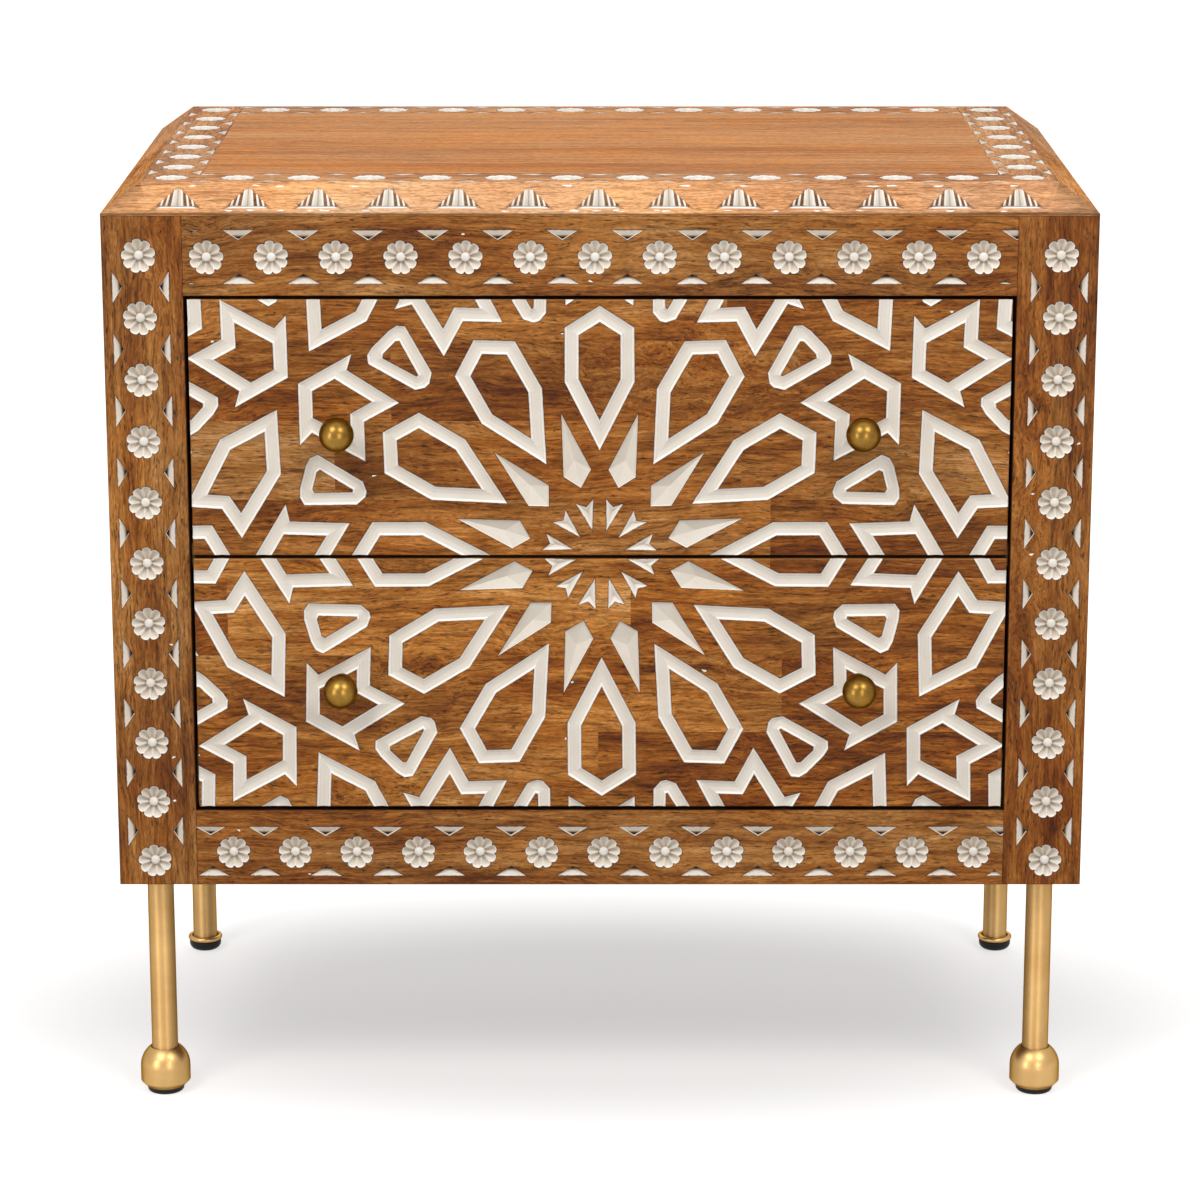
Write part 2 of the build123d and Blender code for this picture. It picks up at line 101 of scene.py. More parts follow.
# ======== Carving
class Facet:
    """A flat piece of carved surface: its corners (u, v, depth, stain and shade, painted
    shade).

    Stain and shade darkens the edge of a cut, from 0 to 1: partly rubbed wood and partly
    painted shade; in the bare flutes of a shell it is painted shade.  Painted shade greys a
    cut where shade falls: 1 along a crease, and 2 in the bottom of a pit.
    """

    def __init__(self, corners, painted=True, smooth=False):
        turning = sum(a[0] * b[1] - b[0] * a[1] for a, b in pairs(corners))
        self.corners = corners if turning > 0 else corners[::-1]
        self.painted = painted
        self.smooth = smooth

    def planes(self):
        """(per u, per v, constant) of its depth, of its stain and of its grime."""
        (u1, v1, *first), (u2, v2, *second), (u3, v3, *third) = self.corners[:3]
        u2, v2, u3, v3 = u2 - u1, v2 - v1, u3 - u1, v3 - v1
        area = u2 * v3 - u3 * v2
        found = []
        for level, level_2, level_3 in zip(first, second, third):
            rise_2, rise_3 = level_2 - level, level_3 - level
            if abs(area) < 1e-9:
                found.append((0.0, 0.0, level))
            else:
                per_u = (rise_2 * v3 - rise_3 * v2) / area
                per_v = (u2 * rise_3 - u3 * rise_2) / area
                found.append((per_u, per_v, level - per_u * u1 - per_v * v1))
        return found

    def moved(self, change):
        """The same facet after change(u, v) -> (u, v)."""
        corners = [change(*corner[:2]) + corner[2:] for corner in self.corners]
        return Facet(corners, self.painted, self.smooth)


def quad(a, b, c, d, painted=True, smooth=False):
    """Two facets between four corners."""
    return [Facet([a, b, c], painted, smooth), Facet([a, c, d], painted, smooth)]


def pairs(points):
    """Each point of a closed outline with the next one."""
    return zip(points, points[1:] + points[:1])


def sides(outline):
    """(start, direction, inward normal, length) of each side of an outline."""
    found = []
    for (u1, v1), (u2, v2) in pairs(outline):
        length = math.hypot(u2 - u1, v2 - v1)
        u, v = (u2 - u1) / length, (v2 - v1) / length
        found.append(((u1, v1), (u, v), (-v, u), length))
    return found


def inset(outline, width):
    """An outline (anticlockwise) moved inwards by a width, with mitred corners."""
    lines = [(normal, normal[0] * u + normal[1] * v + width)
             for (u, v), _, normal, _ in sides(outline)]
    moved = []
    for index, (u, v) in enumerate(outline):
        (a1, b1), c1 = lines[index - 1]
        (a2, b2), c2 = lines[index]
        cross = a1 * b2 - a2 * b1
        if abs(cross) < 0.02:
            moved.append((u + a2 * width, v + b2 * width))
        else:
            moved.append(((c1 * b2 - c2 * b1) / cross, (a1 * c2 - a2 * c1) / cross))
    return moved


def with_levels(outline, levels):
    """Corners of an outline: levels is one for all of it, or a list of one for each."""
    if isinstance(levels, tuple):
        levels = [levels] * len(outline)
    return [point + level for point, level in zip(outline, levels)]


def ring(outer, inner, outer_levels, inner_levels, painted=True, smooth=False):
    """Facets between two outlines of as many points."""
    facets = []
    for (a, b), (d, c) in zip(pairs(with_levels(outer, outer_levels)),
                              pairs(with_levels(inner, inner_levels))):
        facets += quad(a, b, c, d, painted, smooth)
    return facets


def cone(outline, levels, tip, smooth=False):
    """Facets from each side of an outline to one point."""
    return [Facet([a, b, tip], smooth=smooth) for a, b in pairs(with_levels(outline, levels))]


def halo(outline, outwards=True):
    """The eased edge of the wood round a cut, or round an island in it, darkened: partly rubbed
    wood and partly painted shade.
    """
    far = inset(outline, -HALO_WIDTH if outwards else HALO_WIDTH)
    return ring(outline, far, EDGE_LEVEL, SURFACE_LEVEL, painted=False)


def fan(outline, centre, depth, grime, pit=0.42):
    """Facets from every side of an outline down to one deep point.

    Pit is the share of the way out from that point over which painted shade darkens the cut.
    """
    facets = halo(outline)
    here, level = outline, EDGE_LEVEL
    near_painted_shade = grime * 0.4 if grime > 1.0 else min(FLOOR_PAINTED_SHADE, grime * 0.45)
    for share, ring_painted_shade in ((pit, near_painted_shade), (pit * 0.4, grime * 0.95)):
        inner = [(centre[0] + (u - centre[0]) * share, centre[1] + (v - centre[1]) * share)
                 for u, v in outline]
        inner_level = (depth + (EDGE_DEPTH - depth) * share, 0.0, ring_painted_shade)
        facets += ring(here, inner, level, inner_level)
        here, level = inner, inner_level
    return facets + cone(here, level, centre + (depth, 0.0, grime))


def trough(outline, sign):
    """The side of a band along one of its two edges, and the outline where it ends."""
    facets = []
    here, level = outline, EDGE_LEVEL
    for distance, depth, grime in BAND_PROFILE:
        after = inset(outline, sign * distance)
        facets += ring(here, after, level, (depth, 0.0, grime))
        here, level = after, (depth, 0.0, grime)
    return facets, here


def band(outline, island):
    """A rounded groove round an island of wood."""
    outer_side, floor_edge = trough(outline, 1)
    floor_level = (BAND_PROFILE[-1][1], 0.0, FLOOR_PAINTED_SHADE)
    return (halo(outline) + outer_side + [Facet(with_levels(floor_edge, floor_level))]
            + trough(island, -1)[0]
            + [Facet(with_levels(island, SURFACE_LEVEL), painted=False)]
            + halo(island, outwards=False))


def dish(outline, deepest):
    """A solid cut: a narrow steep wall, and shallow facets down to one deep point."""
    foot = inset(outline, DISH_WALL)
    # Painted shade greys the foot of the wall and, more, the deep point.
    level = (DISH_WALL_DEPTH, 0.0, 0.45)
    return (halo(outline) + ring(outline, foot, EDGE_LEVEL, level)
            + cone(foot, level, deepest + (DISH_DEPTH, 0.0, 0.55)))


def jittered(outline, amount=0.3):
    """An outline as a hand cuts it, each corner a little off its place."""
    return [(u + rng.uniform(-amount, amount), v + rng.uniform(-amount, amount))
            for u, v in outline]


def turned(outline, angle, centre=(0.0, 0.0)):
    """An outline turned about the origin, in degrees, and then moved to a centre."""
    cosine, sine = math.cos(math.radians(angle)), math.sin(math.radians(angle))
    return [(centre[0] + u * cosine - v * sine, centre[1] + u * sine + v * cosine)
            for u, v in outline]


def polar(radius, angle, centre=(0.0, 0.0)):
    """The point at a radius and an angle, in degrees, from a centre."""
    angle = math.radians(angle)
    return centre[0] + radius * math.cos(angle), centre[1] + radius * math.sin(angle)


def along_u(outline, distance):
    """An outline moved along u."""
    return [(u + distance, v) for u, v in outline]


# ======== The pattern of the drawer fronts
# Each outline lies along +u, and the pattern turns it about its centre.
LATTICE = 576.6  # between two great rosettes
PATTERN_WIDE = 0.992  # how much of its drawn size the pattern has, each way
PATTERN_TALL = 1.015
DART = [(22.0, 0.0), (47.1, -7.3), (42.4, 0.0), (47.1, 7.3)]
DART_DEEPEST = (37.5, 0.0)
KITE = [(58.7, 0.0), (71.0, -11.8), (121.5, 0.0), (71.0, 11.8)]
KITE_DEEPEST = (81.0, 0.0)
PETAL = [(87.3, 0.0), (142.7, -28.5), (186.8, -28.5), (204.7, 0.0), (186.8, 28.5),
         (142.7, 28.5)]
SHIELD_CENTRE = 225.9
SHIELD = [(-27.7, 2.4), (-27.7, -2.4), (-22.8, -9.8), (18.8, -21.6), (24.2, -17.0),
          (25.9, -9.6), (25.9, 9.6), (24.2, 17.0), (18.8, 21.6), (-22.8, 9.8)]
SHIELD_ISLAND = [(-16.3, 0.9), (-16.3, -0.9), (13.6, -9.6), (15.6, -7.2), (15.6, 7.2),
                 (13.6, 9.6)]
STAR_CENTRE = 241.4
STAR = [(42.4, 0.0), (16.3, 43.2), (13.0, 29.4), (-36.7, 27.7), (-19.6, 0.0),
        (-36.7, -27.7), (13.0, -29.4), (16.3, -43.2)]
STAR_WITHOUT_HORNS = [(42.4, 0.0), (24.4, 29.8), (-36.7, 27.7), (-19.6, 0.0),
                      (-36.7, -27.7), (24.4, -29.8)]
HEXAGON_RADIUS = 29.8
ARROW = [(45.7, 0.0), (32.6, -26.1), (94.6, -28.5), (139.4, 0.0), (94.6, 28.5),
         (32.6, 26.1)]


def plain_band(outline):
    """A band whose island follows its outline."""
    return band(outline, inset(outline, BAND_WIDTH))


# The cuts of one spoke of a great rosette: (angle from the spoke, what cuts it, outlines)
SPOKE = [
    (15.0, lambda cut: fan(cut[:-1], cut[-1], DART_DEPTH, 1.0), DART + [DART_DEEPEST]),
    (15.0, lambda cut: dish(cut[:-1], cut[-1]), KITE + [KITE_DEEPEST]),
    (0.0, plain_band, PETAL),
    (15.0, lambda cut: band(cut[:len(SHIELD)], cut[len(SHIELD):]),
     along_u(SHIELD + SHIELD_ISLAND, SHIELD_CENTRE)),
    (0.0, lambda cut: band(cut[:len(STAR)], inset(cut[len(STAR):], BAND_WIDTH)),
     along_u(STAR + STAR_WITHOUT_HORNS, STAR_CENTRE)),
]


def rosette_shapes(centre):
    """(what cuts it, outline) for each cut of a great twelve-fold rosette."""
    return [(make, turned(outline, 30.0 * spoke + angle, centre))
            for spoke in range(12) for angle, make, outline in SPOKE]


def meeting_shapes(centre, towards):
    """The hexagon and three arrows where three great rosettes meet."""
    hexagon = [polar(HEXAGON_RADIUS, 60.0 * corner) for corner in range(6)]
    arrows = [turned(ARROW, towards + 60.0 + 120.0 * side, centre) for side in range(3)]
    return [(plain_band, outline) for outline in [turned(hexagon, towards, centre)] + arrows]


def front_shapes():
    """Every cut of the pattern, about the middle of the two drawer fronts."""
    shapes = []
    meetings = {}
    for row in range(-1, 2):
        for column in range(-1, 2):
            centre = polar(LATTICE * column, 30.0, (0.0, LATTICE * row))
            shapes += rosette_shapes(centre)
            for side in range(6):
                meeting = polar(LATTICE / math.sqrt(3), 60.0 * side, centre)
                key = (round(meeting[0]), round(meeting[1]))
                meetings.setdefault(key, (meeting, 60.0 * side + 180.0))
    for meeting, towards in meetings.values():
        shapes += meeting_shapes(meeting, towards)
    return shapes


def meets(points, others):
    """Whether the box of some points meets the box of some others."""
    return all(max(point[axis] for point in points) > min(other[axis] for other in others)
               and min(point[axis] for point in points) < max(other[axis] for other in others)
               for axis in (0, 1))


def front_facets(outline, shift):
    """The facets of the pattern that reach into one drawer front."""
    facets = []
    for make, cut in front_shapes():
        placed = jittered([(u * PATTERN_WIDE + shift[0], SEAM_Z + v * PATTERN_TALL + shift[1])
                           for u, v in cut])
        if meets(placed, outline):
            facets += make(placed)
    return facets


# ======== Flowers, chips, specks and shells
SMALL_ROSETTE = 13.9  # radius of a flower
PETALS = 9
FLOWER_STEPS = 6  # points along the rim of a petal
FLOWER_NOTCH = 0.82  # radius between two petals, as a share of the whole
PETAL_ROUNDNESS = 2.1  # of the rim of a petal: 2 is an ellipse
HOLLOW_ROUNDNESS = 3.2  # of the hollow of a petal, from side to side
BUTTON_RADIUS = 3.6
# Rings of a flower from its middle: share of the way from button to rim, the depth and
# painted shade of the ridges between petals, and the depth and painted shade of the petals'
# hollows
FLOWER_RINGS = [(0.0, 3.0, 1.25, 4.4, 1.36), (0.16, 2.2, 0.3, 4.6, 1.22),
                (0.42, 1.2, 0.0, 4.3, 1.08), (0.74, 0.7, 0.0, 3.1, 0.9),
                (0.92, 0.4, 0.0, 1.3, 0.2)]
BUTTON_RINGS = [(0.45, 0.5), (0.8, 0.8), (0.98, 1.7)]  # (share of its radius, depth)
BUTTON_TOP = 0.4
# Painted shade that greys the button a little
BUTTON_PAINTED_SHADE = 0.2
SPECK_RADII = (0.6, 1.6)
SPECK_DEPTH = 0.4


def flower(centre):
    """A nine-petalled flower, each petal a scoop, round a raised button."""
    count = PETALS * FLOWER_STEPS
    first = rng.uniform(-6, 6) + 90.0 + 180.0 / PETALS
    angles = [first + 360.0 * index / count for index in range(count)]
    across = [2.0 * (index % FLOWER_STEPS) / FLOWER_STEPS - 1.0 for index in range(count)]
    hollow = [1.0 - abs(place) ** HOLLOW_ROUNDNESS for place in across]
    lobes = [math.sqrt(1.0 - abs(place) ** PETAL_ROUNDNESS) for place in across]
    rim_radii = [SMALL_ROSETTE * (FLOWER_NOTCH + (1.0 - FLOWER_NOTCH) * lobe)
                 for lobe in lobes]

    def circle(radii):
        return [polar(radius, angle, centre) for radius, angle in zip(radii, angles)]

    rings = [(circle(rim_radii), EDGE_LEVEL)]
    start = BUTTON_RADIUS + 0.3
    for share, ridge, ridge_painted_shade, valley, valley_painted_shade in reversed(FLOWER_RINGS):
        rings.append((circle([start + (radius - start) * share for radius in rim_radii]),
                      [(ridge + (valley - ridge) * low, 0.0,
                        ridge_painted_shade + (valley_painted_shade - ridge_painted_shade) * low)
                       for low in hollow]))
    for share, depth in reversed(BUTTON_RINGS):
        rings.append((circle([BUTTON_RADIUS * share] * count), (depth, 0.0, BUTTON_PAINTED_SHADE)))
    facets = halo(rings[0][0])
    for (outer, outer_levels), (inner, inner_levels) in zip(rings, rings[1:]):
        facets += ring(outer, inner, outer_levels, inner_levels, smooth=True)
    return facets + cone(*rings[-1], centre + (BUTTON_TOP, 0.0, BUTTON_PAINTED_SHADE), smooth=True)


def chip(middle, angle, width=CHIP_WIDTH, height=CHIP_HEIGHT):
    """A chip-carved triangle: its base's middle, the way it points, width and height."""
    deepest = (height * rng.uniform(0.9, 0.94), rng.uniform(-0.5, 0.5))
    outline = jittered([(0.0, -width / 2), (height, 0.0), (0.0, width / 2)], 0.25)
    placed = turned(outline + [deepest], angle, middle)
    # Painted shade darkens the chip towards its deep point, dark brown in the pit.
    return fan(placed[:3], placed[3], CHIP_DEPTH, 2.0, pit=0.5)


def speck(centre, stretch=1.5, tilt=40):
    """A small dab of white paint in a nick in the wood."""
    corners = rng.randint(4, 6)
    outline = []
    for corner in range(corners):
        radius = rng.uniform(*SPECK_RADII)
        angle = math.radians(360.0 * corner / corners + rng.uniform(-20, 20))
        outline.append((radius * stretch * math.cos(angle), 0.8 * radius * math.sin(angle)))
    placed = turned(outline, rng.uniform(-tilt, tilt), centre)
    return cone(placed, SURFACE_LEVEL, centre + (SPECK_DEPTH, 0.0, 0.0))


SHELL_WIDTH = 37.0
SHELL_HEIGHT = 24.0
SHELL_FOOT = 2.0  # height of the strip that the leaves stand on
SHELL_MEETING = 62.0  # how high above the foot the leaves would meet
SHELL_TIP = 0.4  # depth of a leaf's tip, as a share of that of its foot
# Half of a shell's foot from its middle: (start, end, what stands there).  White ridges
# part the flutes, of which the middle one is paint greyed by painted shade and the others
# are bare wood darkened by painted shade.
SHELL_LEAVES = [(0.0, 3.0, "grey"), (3.0, 5.3, "white"), (5.3, 8.0, "bare"),
                (8.0, 10.2, "white"), (10.2, 12.4, "bare"), (12.4, 14.3, "white"),
                (14.3, 15.6, "bare")]
# (depth and painted shade along the middle, depth and painted shade at the sides, stain and
# shade, here painted shade)
SHELL_CUTS = {"grey": (2.4, 1.35, 1.0, 0.3, 0.0), "white": (0.4, 0.0, 1.5, 0.4, 0.0),
              "bare": (2.6, 0.6, 1.5, 0.2, 0.95)}


def leaf(base, side, start, end, start_tip, end_tip, kind):
    """One ridge of a shell, or one flute between two of them."""
    low, painted_shade_low, high, painted_shade_high, stain = SHELL_CUTS[kind]
    if start == 0.0:
        lines = [(start, start_tip, low, painted_shade_low), (end, end_tip, high, painted_shade_high)]
    else:
        lift = 0.9 if kind == "white" else -0.4
        middle_tip = ((start_tip[0] + end_tip[0]) / 2, (start_tip[1] + end_tip[1]) / 2 + lift)
        lines = [(start, start_tip, high, painted_shade_high),
                 ((start + end) / 2, middle_tip, low, painted_shade_low),
                 (end, end_tip, high, painted_shade_high)]
    feet = [(base[0] + side * u, base[1] + SHELL_FOOT, depth, stain, grime)
            for u, _, depth, grime in lines]
    tips = [(base[0] + side * tip[0], base[1] + tip[1], depth * SHELL_TIP, stain, grime)
            for _, tip, depth, grime in lines]
    facets = []
    for a, b, c, d in zip(feet, feet[1:], tips[1:], tips):
        facets += quad(a, b, c, d, painted=kind != "bare", smooth=True)
    return facets


def shell(base):
    """A pleated fan of leaves over a strip, on the bevel; base is the middle of its foot."""
    half = SHELL_WIDTH / 2
    slope, rise = SHELL_HEIGHT / half, SHELL_MEETING - SHELL_FOOT

    def tip_of(start):
        """Where the line that rises from a place on the foot meets the sloping rim."""
        share = (SHELL_HEIGHT - SHELL_FOOT - slope * start) / (rise - slope * start)
        return start * (1.0 - share), SHELL_FOOT + rise * share

    collar = [(-half - 2.0, -1.4), (half + 2.0, -1.4), (4.0, SHELL_HEIGHT - 1.0),
              (0.0, SHELL_HEIGHT + 1.0), (-4.0, SHELL_HEIGHT - 1.0)]
    facets = [Facet(with_levels(turned(collar, 0.0, base), SURFACE_LEVEL), painted=False)]
    for start, end, kind in SHELL_LEAVES:
        for side in (1, -1):
            facets += leaf(base, side, start, end, tip_of(start), tip_of(end), kind)
    strip = [(-half, -0.2), (half, -0.2), (half * 0.72, SHELL_FOOT), (-half * 0.72, SHELL_FOOT)]
    return facets + fan(turned(jittered(strip, 0.15), 0.0, base),
                        (base[0], base[1] + SHELL_FOOT * 0.4), 0.9, 0.0)


# ======== A board with a carved face
ROUND_SHARES = (0.1, 0.35, 0.65, 1.0)
JOINT_RADIUS = 1.0  # up to this, an edge meets another board and is dark
WOOD_SLOT, PAINT_SLOT, GAP_SHADOW_SLOT, BEVEL_SLOT = range(4)


def rounding(point, lines):
    """The depth of the rounded edges of a board at a point, their stain at joints, and their
    wear and painted highlight.
    """
    depth, stain, wear = 0.0, 0.0, 0.0
    for (start, _, normal, _), radius in lines:
        away = (point[0] - start[0]) * normal[0] + (point[1] - start[1]) * normal[1]
        if radius > 0 and away < radius - 1e-6:
            away = max(away, 0.0)
            depth = max(depth, radius - math.sqrt(radius ** 2 - (radius - away) ** 2))
            # Outer edges turn lighter, wear and painted highlight; edges at joints are stained
            # dark.
            if radius > JOINT_RADIUS:
                wear = max(wear, 1.0 - away / radius)
            else:
                stain = max(stain, 0.9 * (1.0 - away / radius))
    return depth, stain, wear


def carve(outline, radii, facets, folds):
    """Cuts facets into a flat outline (anticlockwise).

    Returns its points as (u, v, depth, stain and shade, painted shade, wear and highlight)
    and its triangles as (corners, painted, smooth).
    """
    points = []

    def add(corners):
        start = len(points)
        points.extend(Vector(corner[:2]) for corner in corners)
        return list(range(start, len(points)))

    cuts = [Facet(with_levels(outline, SURFACE_LEVEL), painted=False)] + facets
    polygons = [add(cut.corners) for cut in cuts]
    edges = []
    lines = list(zip(sides(outline), radii))
    for ((u, v), direction, normal, length), radius in lines:
        for share in ROUND_SHARES if radius > 0 else ():
            start = (u + normal[0] * radius * share, v + normal[1] * radius * share)
            end = (start[0] + direction[0] * length, start[1] + direction[1] * length)
            edges.append(add([start, end]))
    edges += [add(fold) for fold in folds]

    made = delaunay_2d_cdt(points, edges, polygons, 1, 1e-5, True)
    flat_points, triangles, owners = made[0], made[2], made[5]
    planes = [cut.planes() for cut in cuts]
    roundings = [rounding(point, lines) for point in flat_points]
    values = [[0.0, 0.0, 0.0] for _ in flat_points]
    kept = []
    for corners, owner in zip(triangles, owners):
        if 0 not in owner:
            continue
        cut = cuts[max(owner)]
        for index in corners:
            u, v = flat_points[index]
            for kind, (per_u, per_v, constant) in enumerate(planes[max(owner)]):
                values[index][kind] = max(values[index][kind], per_u * u + per_v * v + constant)
        rounded = any(roundings[index][0] > 0.0 for index in corners)
        kept.append((corners, cut.painted, cut.smooth or rounded and not cut.painted))
    return [(u, v, max(depth, drop), max(stain, edge_stain), grime, wear)
            for (u, v), (depth, stain, grime), (drop, edge_stain, wear)
            in zip(flat_points, values, roundings)], kept


def in_scene(name, data):
    """A new object that holds some data."""
    holder = bpy.data.objects.new(name, data)
    bpy.context.scene.collection.objects.link(holder)
    return holder


def new_piece(name, shape, *materials):
    """A new object with the mesh of a bmesh."""
    mesh = bpy.data.meshes.new(name)
    shape.to_mesh(mesh)
    shape.free()
    for material in materials:
        mesh.materials.append(material)
    return in_scene(name, mesh)


def stand_for(piece, node, body, slot):
    """Puts a piece in the place of its CAD node."""
    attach(piece, body)
    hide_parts(node)


def board(name, node, outline, radii, facets, place, drop, woods, white, folds=(),
          in_gap=None, body="cabinet", slot="carved_wood"):
    """A closed board: its carved face, straight walls down from it, and its back.

    place(u, v, depth) gives a point of the face, and drop(point) one of the back;
    in_gap(point) says whether a wall there looks into a gap, and so gets painted gap shadow.
    The first of its woods is its own and the last that of its bevel.
    """
    points, triangles = carve(outline, radii, facets, folds)
    shape = bmesh.new()
    layers = [shape.verts.layers.float.new(layer) for layer in ("stain", "grime", "wear")]
    verts = {}
    for index in dict.fromkeys(index for corners, _, _ in triangles for index in corners):
        vert = verts[index] = shape.verts.new(place(*points[index][:3]))
        for layer, value in zip(layers, points[index][3:]):
            vert[layer] = value
    for corners, painted, smooth in triangles:
        face = shape.faces.new([verts[index] for index in corners])
        on_bevel = all(points[index][1] < 1e-4 for index in corners)
        face.material_index = PAINT_SLOT if painted else BEVEL_SLOT if on_bevel else WOOD_SLOT
        face.smooth = smooth
    rim = {}
    for edge in [edge for edge in shape.edges if len(edge.link_loops) == 1]:
        loop = edge.link_loops[0]
        rim[loop.vert] = loop.link_loop_next.vert
    below = {vert: shape.verts.new(drop(vert.co)) for vert in rim}
    for vert, after in rim.items():
        wall = shape.faces.new([after, vert, below[vert], below[after]])
        # Walls that look into a gap get the painted gap shadow.
        if in_gap is not None and in_gap(vert.co) and in_gap(after.co):
            wall.material_index = GAP_SHADOW_SLOT
    back = [next(iter(rim))]
    while rim[back[-1]] is not back[0]:
        back.append(rim[back[-1]])
    shape.faces.new([below[vert] for vert in back])
    bmesh.ops.recalc_face_normals(shape, faces=shape.faces)
    stand_for(new_piece(name, shape, woods[0], white, GAP_SHADOW_WOOD, woods[-1]), node, body, slot)


def rectangle(low_u, low_v, high_u, high_v):
    return [(low_u, low_v), (high_u, low_v), (high_u, high_v), (low_u, high_v)]


def upright_board(name, node, outline, radii, facets, material, **settings):
    """A board that faces the front: u is X and v is Z."""
    def in_gap(point):
        """Whether a point of its edge lies inside the case's own outline."""
        x, z = abs(point.x) / MM, point.z / MM
        return x < CASE_X - 1.0 and STILE_LOW.z + 1.0 < z < STILE_HIGH.z - 1.0

    board(name, node, outline, radii, facets,
          lambda u, v, depth: Vector((u, FACE_Y + depth, v)) * MM,
          lambda point: Vector((point.x, FACE_BACK_Y * MM, point.z)),
          [material], PAINT, in_gap=in_gap, **settings)


def border_board(side, outline, radii, woods, edge, inward, along, folds=(), extra=()):
    """A board of the border of the top: v > 0 is its flat, and v < 0 its bevel.

    Edge is a point of the line v = 0, and inward and along are the ways of v and u there.
    Extra facets are cut besides those of the border's carving that reach into it.
    """
    def unfolded(x, y):
        """The (u, v) of a point of the flat border that has a place (X, Y) from above."""
        x, y = x - edge[0], y - edge[1]
        return x * along[0] + y * along[1], x * inward[0] + y * inward[1]

    moved = [facet.moved(unfolded) for facet in TOP_FACETS]
    facets = [facet for facet in moved if meets(facet.corners, outline)] + list(extra)
    corner, inwards, onwards, up = (Vector(way) for way in (edge, inward, along, (0, 0, 1)))
    down_slope = (-inwards * BEVEL_WIDTH - up * BEVEL_DROP).normalized()
    slope_normal = (up * BEVEL_WIDTH - inwards * BEVEL_DROP).normalized()
    edge_normal = (up + slope_normal).normalized()

    def place(u, v, depth):
        if v > 1e-4:
            return (corner + onwards * u + inwards * v - up * depth) * MM
        if v < -1e-4:
            return (corner + onwards * u - down_slope * v - slope_normal * depth) * MM
        return (corner + onwards * u - edge_normal * depth) * MM

    board(side + "_carved_border", "top_border_" + side, outline, radii, facets, place,
          lambda point: Vector((point.x, point.y, TOP_UNDERSIDE_Z * MM)), woods, TOP_PAINT,
          folds)


# ======== Material nodes
def srgb(red, green, blue):
    """A colour as the eye reads it (0 to 255) in the linear values of a shader."""
    def linear(value):
        share = value / 255.0
        return share / 12.92 if share <= 0.04045 else ((share + 0.055) / 1.055) ** 2.4
    return linear(red), linear(green), linear(blue), 1.0


def tones(*colours):
    return tuple(srgb(*colour) for colour in colours)


class Shader:
    """A material (or a world) that is being built, with short calls for its nodes."""

    def __init__(self, name, owner=None, surface="Principled BSDF"):
        self.owner = owner or bpy.data.materials.new(name)
        self.owner.use_nodes = True
        self.tree = self.owner.node_tree
        self.surface = self.tree.nodes[surface]

    def link(self, source, socket):
        """Joins an output to an input, or sets the input to a plain value."""
        if isinstance(source, bpy.types.NodeSocket):
            self.tree.links.new(source, socket)
        elif source is not None:
            socket.default_value = source

    def set(self, name, source):
        self.link(source, self.surface.inputs[name])

    def node(self, kind, inputs=(), **settings):
        """A new node; inputs are (name or number of a socket, what goes into it)."""
        made = self.tree.nodes.new("ShaderNode" + kind)
        for name, value in settings.items():
            setattr(made, name, value)
        for socket, source in inputs:
            self.link(source, made.inputs[socket])
        return made

    def math(self, operation, *values):
        return self.node("Math", enumerate(values), operation=operation).outputs[0]

    def vector(self, operation, *values):
        return self.node("VectorMath", enumerate(values), operation=operation).outputs[0]

    def scaled(self, vector, scale):
        made = self.node("VectorMath", [(0, vector), (3, scale)], operation="SCALE")
        return made.outputs[0]

    def split(self, vector):
        return self.node("SeparateXYZ", [(0, vector)]).outputs

    def map_range(self, value, low, high, start=0.0, kind="LINEAR"):
        """Low up to start, high from 1 on, and in between what lies between them."""
        sockets = [("Value", value), ("From Min", start), ("To Min", low), ("To Max", high)]
        return self.node("MapRange", sockets, interpolation_type=kind).outputs["Result"]

    def coordinates(self, scale, source=None):
        """Object coordinates in metres, or a source of others, scaled along each axis."""
        source = source or self.node("TexCoord").outputs["Object"]
        return self.node("Mapping", [("Vector", source), ("Scale", scale)]).outputs[0]

    def noise(self, scale, detail=2.0, roughness=0.5, source=None, output="Fac"):
        """Noise of a scale, per metre, which is one number or one for each axis."""
        scale = scale if isinstance(scale, tuple) else (scale,) * 3
        sockets = [("Vector", self.coordinates(scale, source)), ("Scale", 1.0),
                   ("Detail", detail), ("Roughness", roughness)]
        return self.node("TexNoise", sockets).outputs[output]

    def chance(self, number, output="Value"):
        """A random value, or colour, for each whole number."""
        return self.node("TexWhiteNoise", [("W", number)],
                         noise_dimensions="1D").outputs[output]

    def ramp(self, value, stops):
        """Colours (or greys) at places from 0 to 1."""
        made = self.node("ValToRGB", [("Fac", value)])
        elements = made.color_ramp.elements
        while len(elements) < len(stops):
            elements.new(0.5)
        for element, (place, colour) in zip(elements, stops):
            element.position = place
            element.color = colour if isinstance(colour, tuple) else (colour,) * 3 + (1,)
        return made.outputs["Color"]

    def mix(self, share, first, second, blend="MIX"):
        return self.node("Mix", [(0, share), (6, first), (7, second)],
                         data_type="RGBA", blend_type=blend).outputs[2]

    def times(self, colour, value, stops, share=1.0):
        """A colour multiplied by the ramp of a value."""
        return self.mix(share, colour, self.ramp(value, stops), "MULTIPLY")

    def attribute(self, name):
        return self.node("Attribute", attribute_name=name).outputs["Fac"]

    def bump(self, height, strength, distance, under=None):
        sockets = [("Strength", strength), ("Distance", distance), ("Height", height),
                   ("Normal", under)]
        return self.node("Bump", sockets).outputs[0]

    def finish(self, colour, roughness, normal=None, metallic=0.0, gloss=0.5):
        for name, source in (("Base Color", colour), ("Roughness", roughness),
                             ("Normal", normal), ("Metallic", metallic),
                             ("Specular IOR Level", gloss)):
            self.set(name, source)
        return self.owner


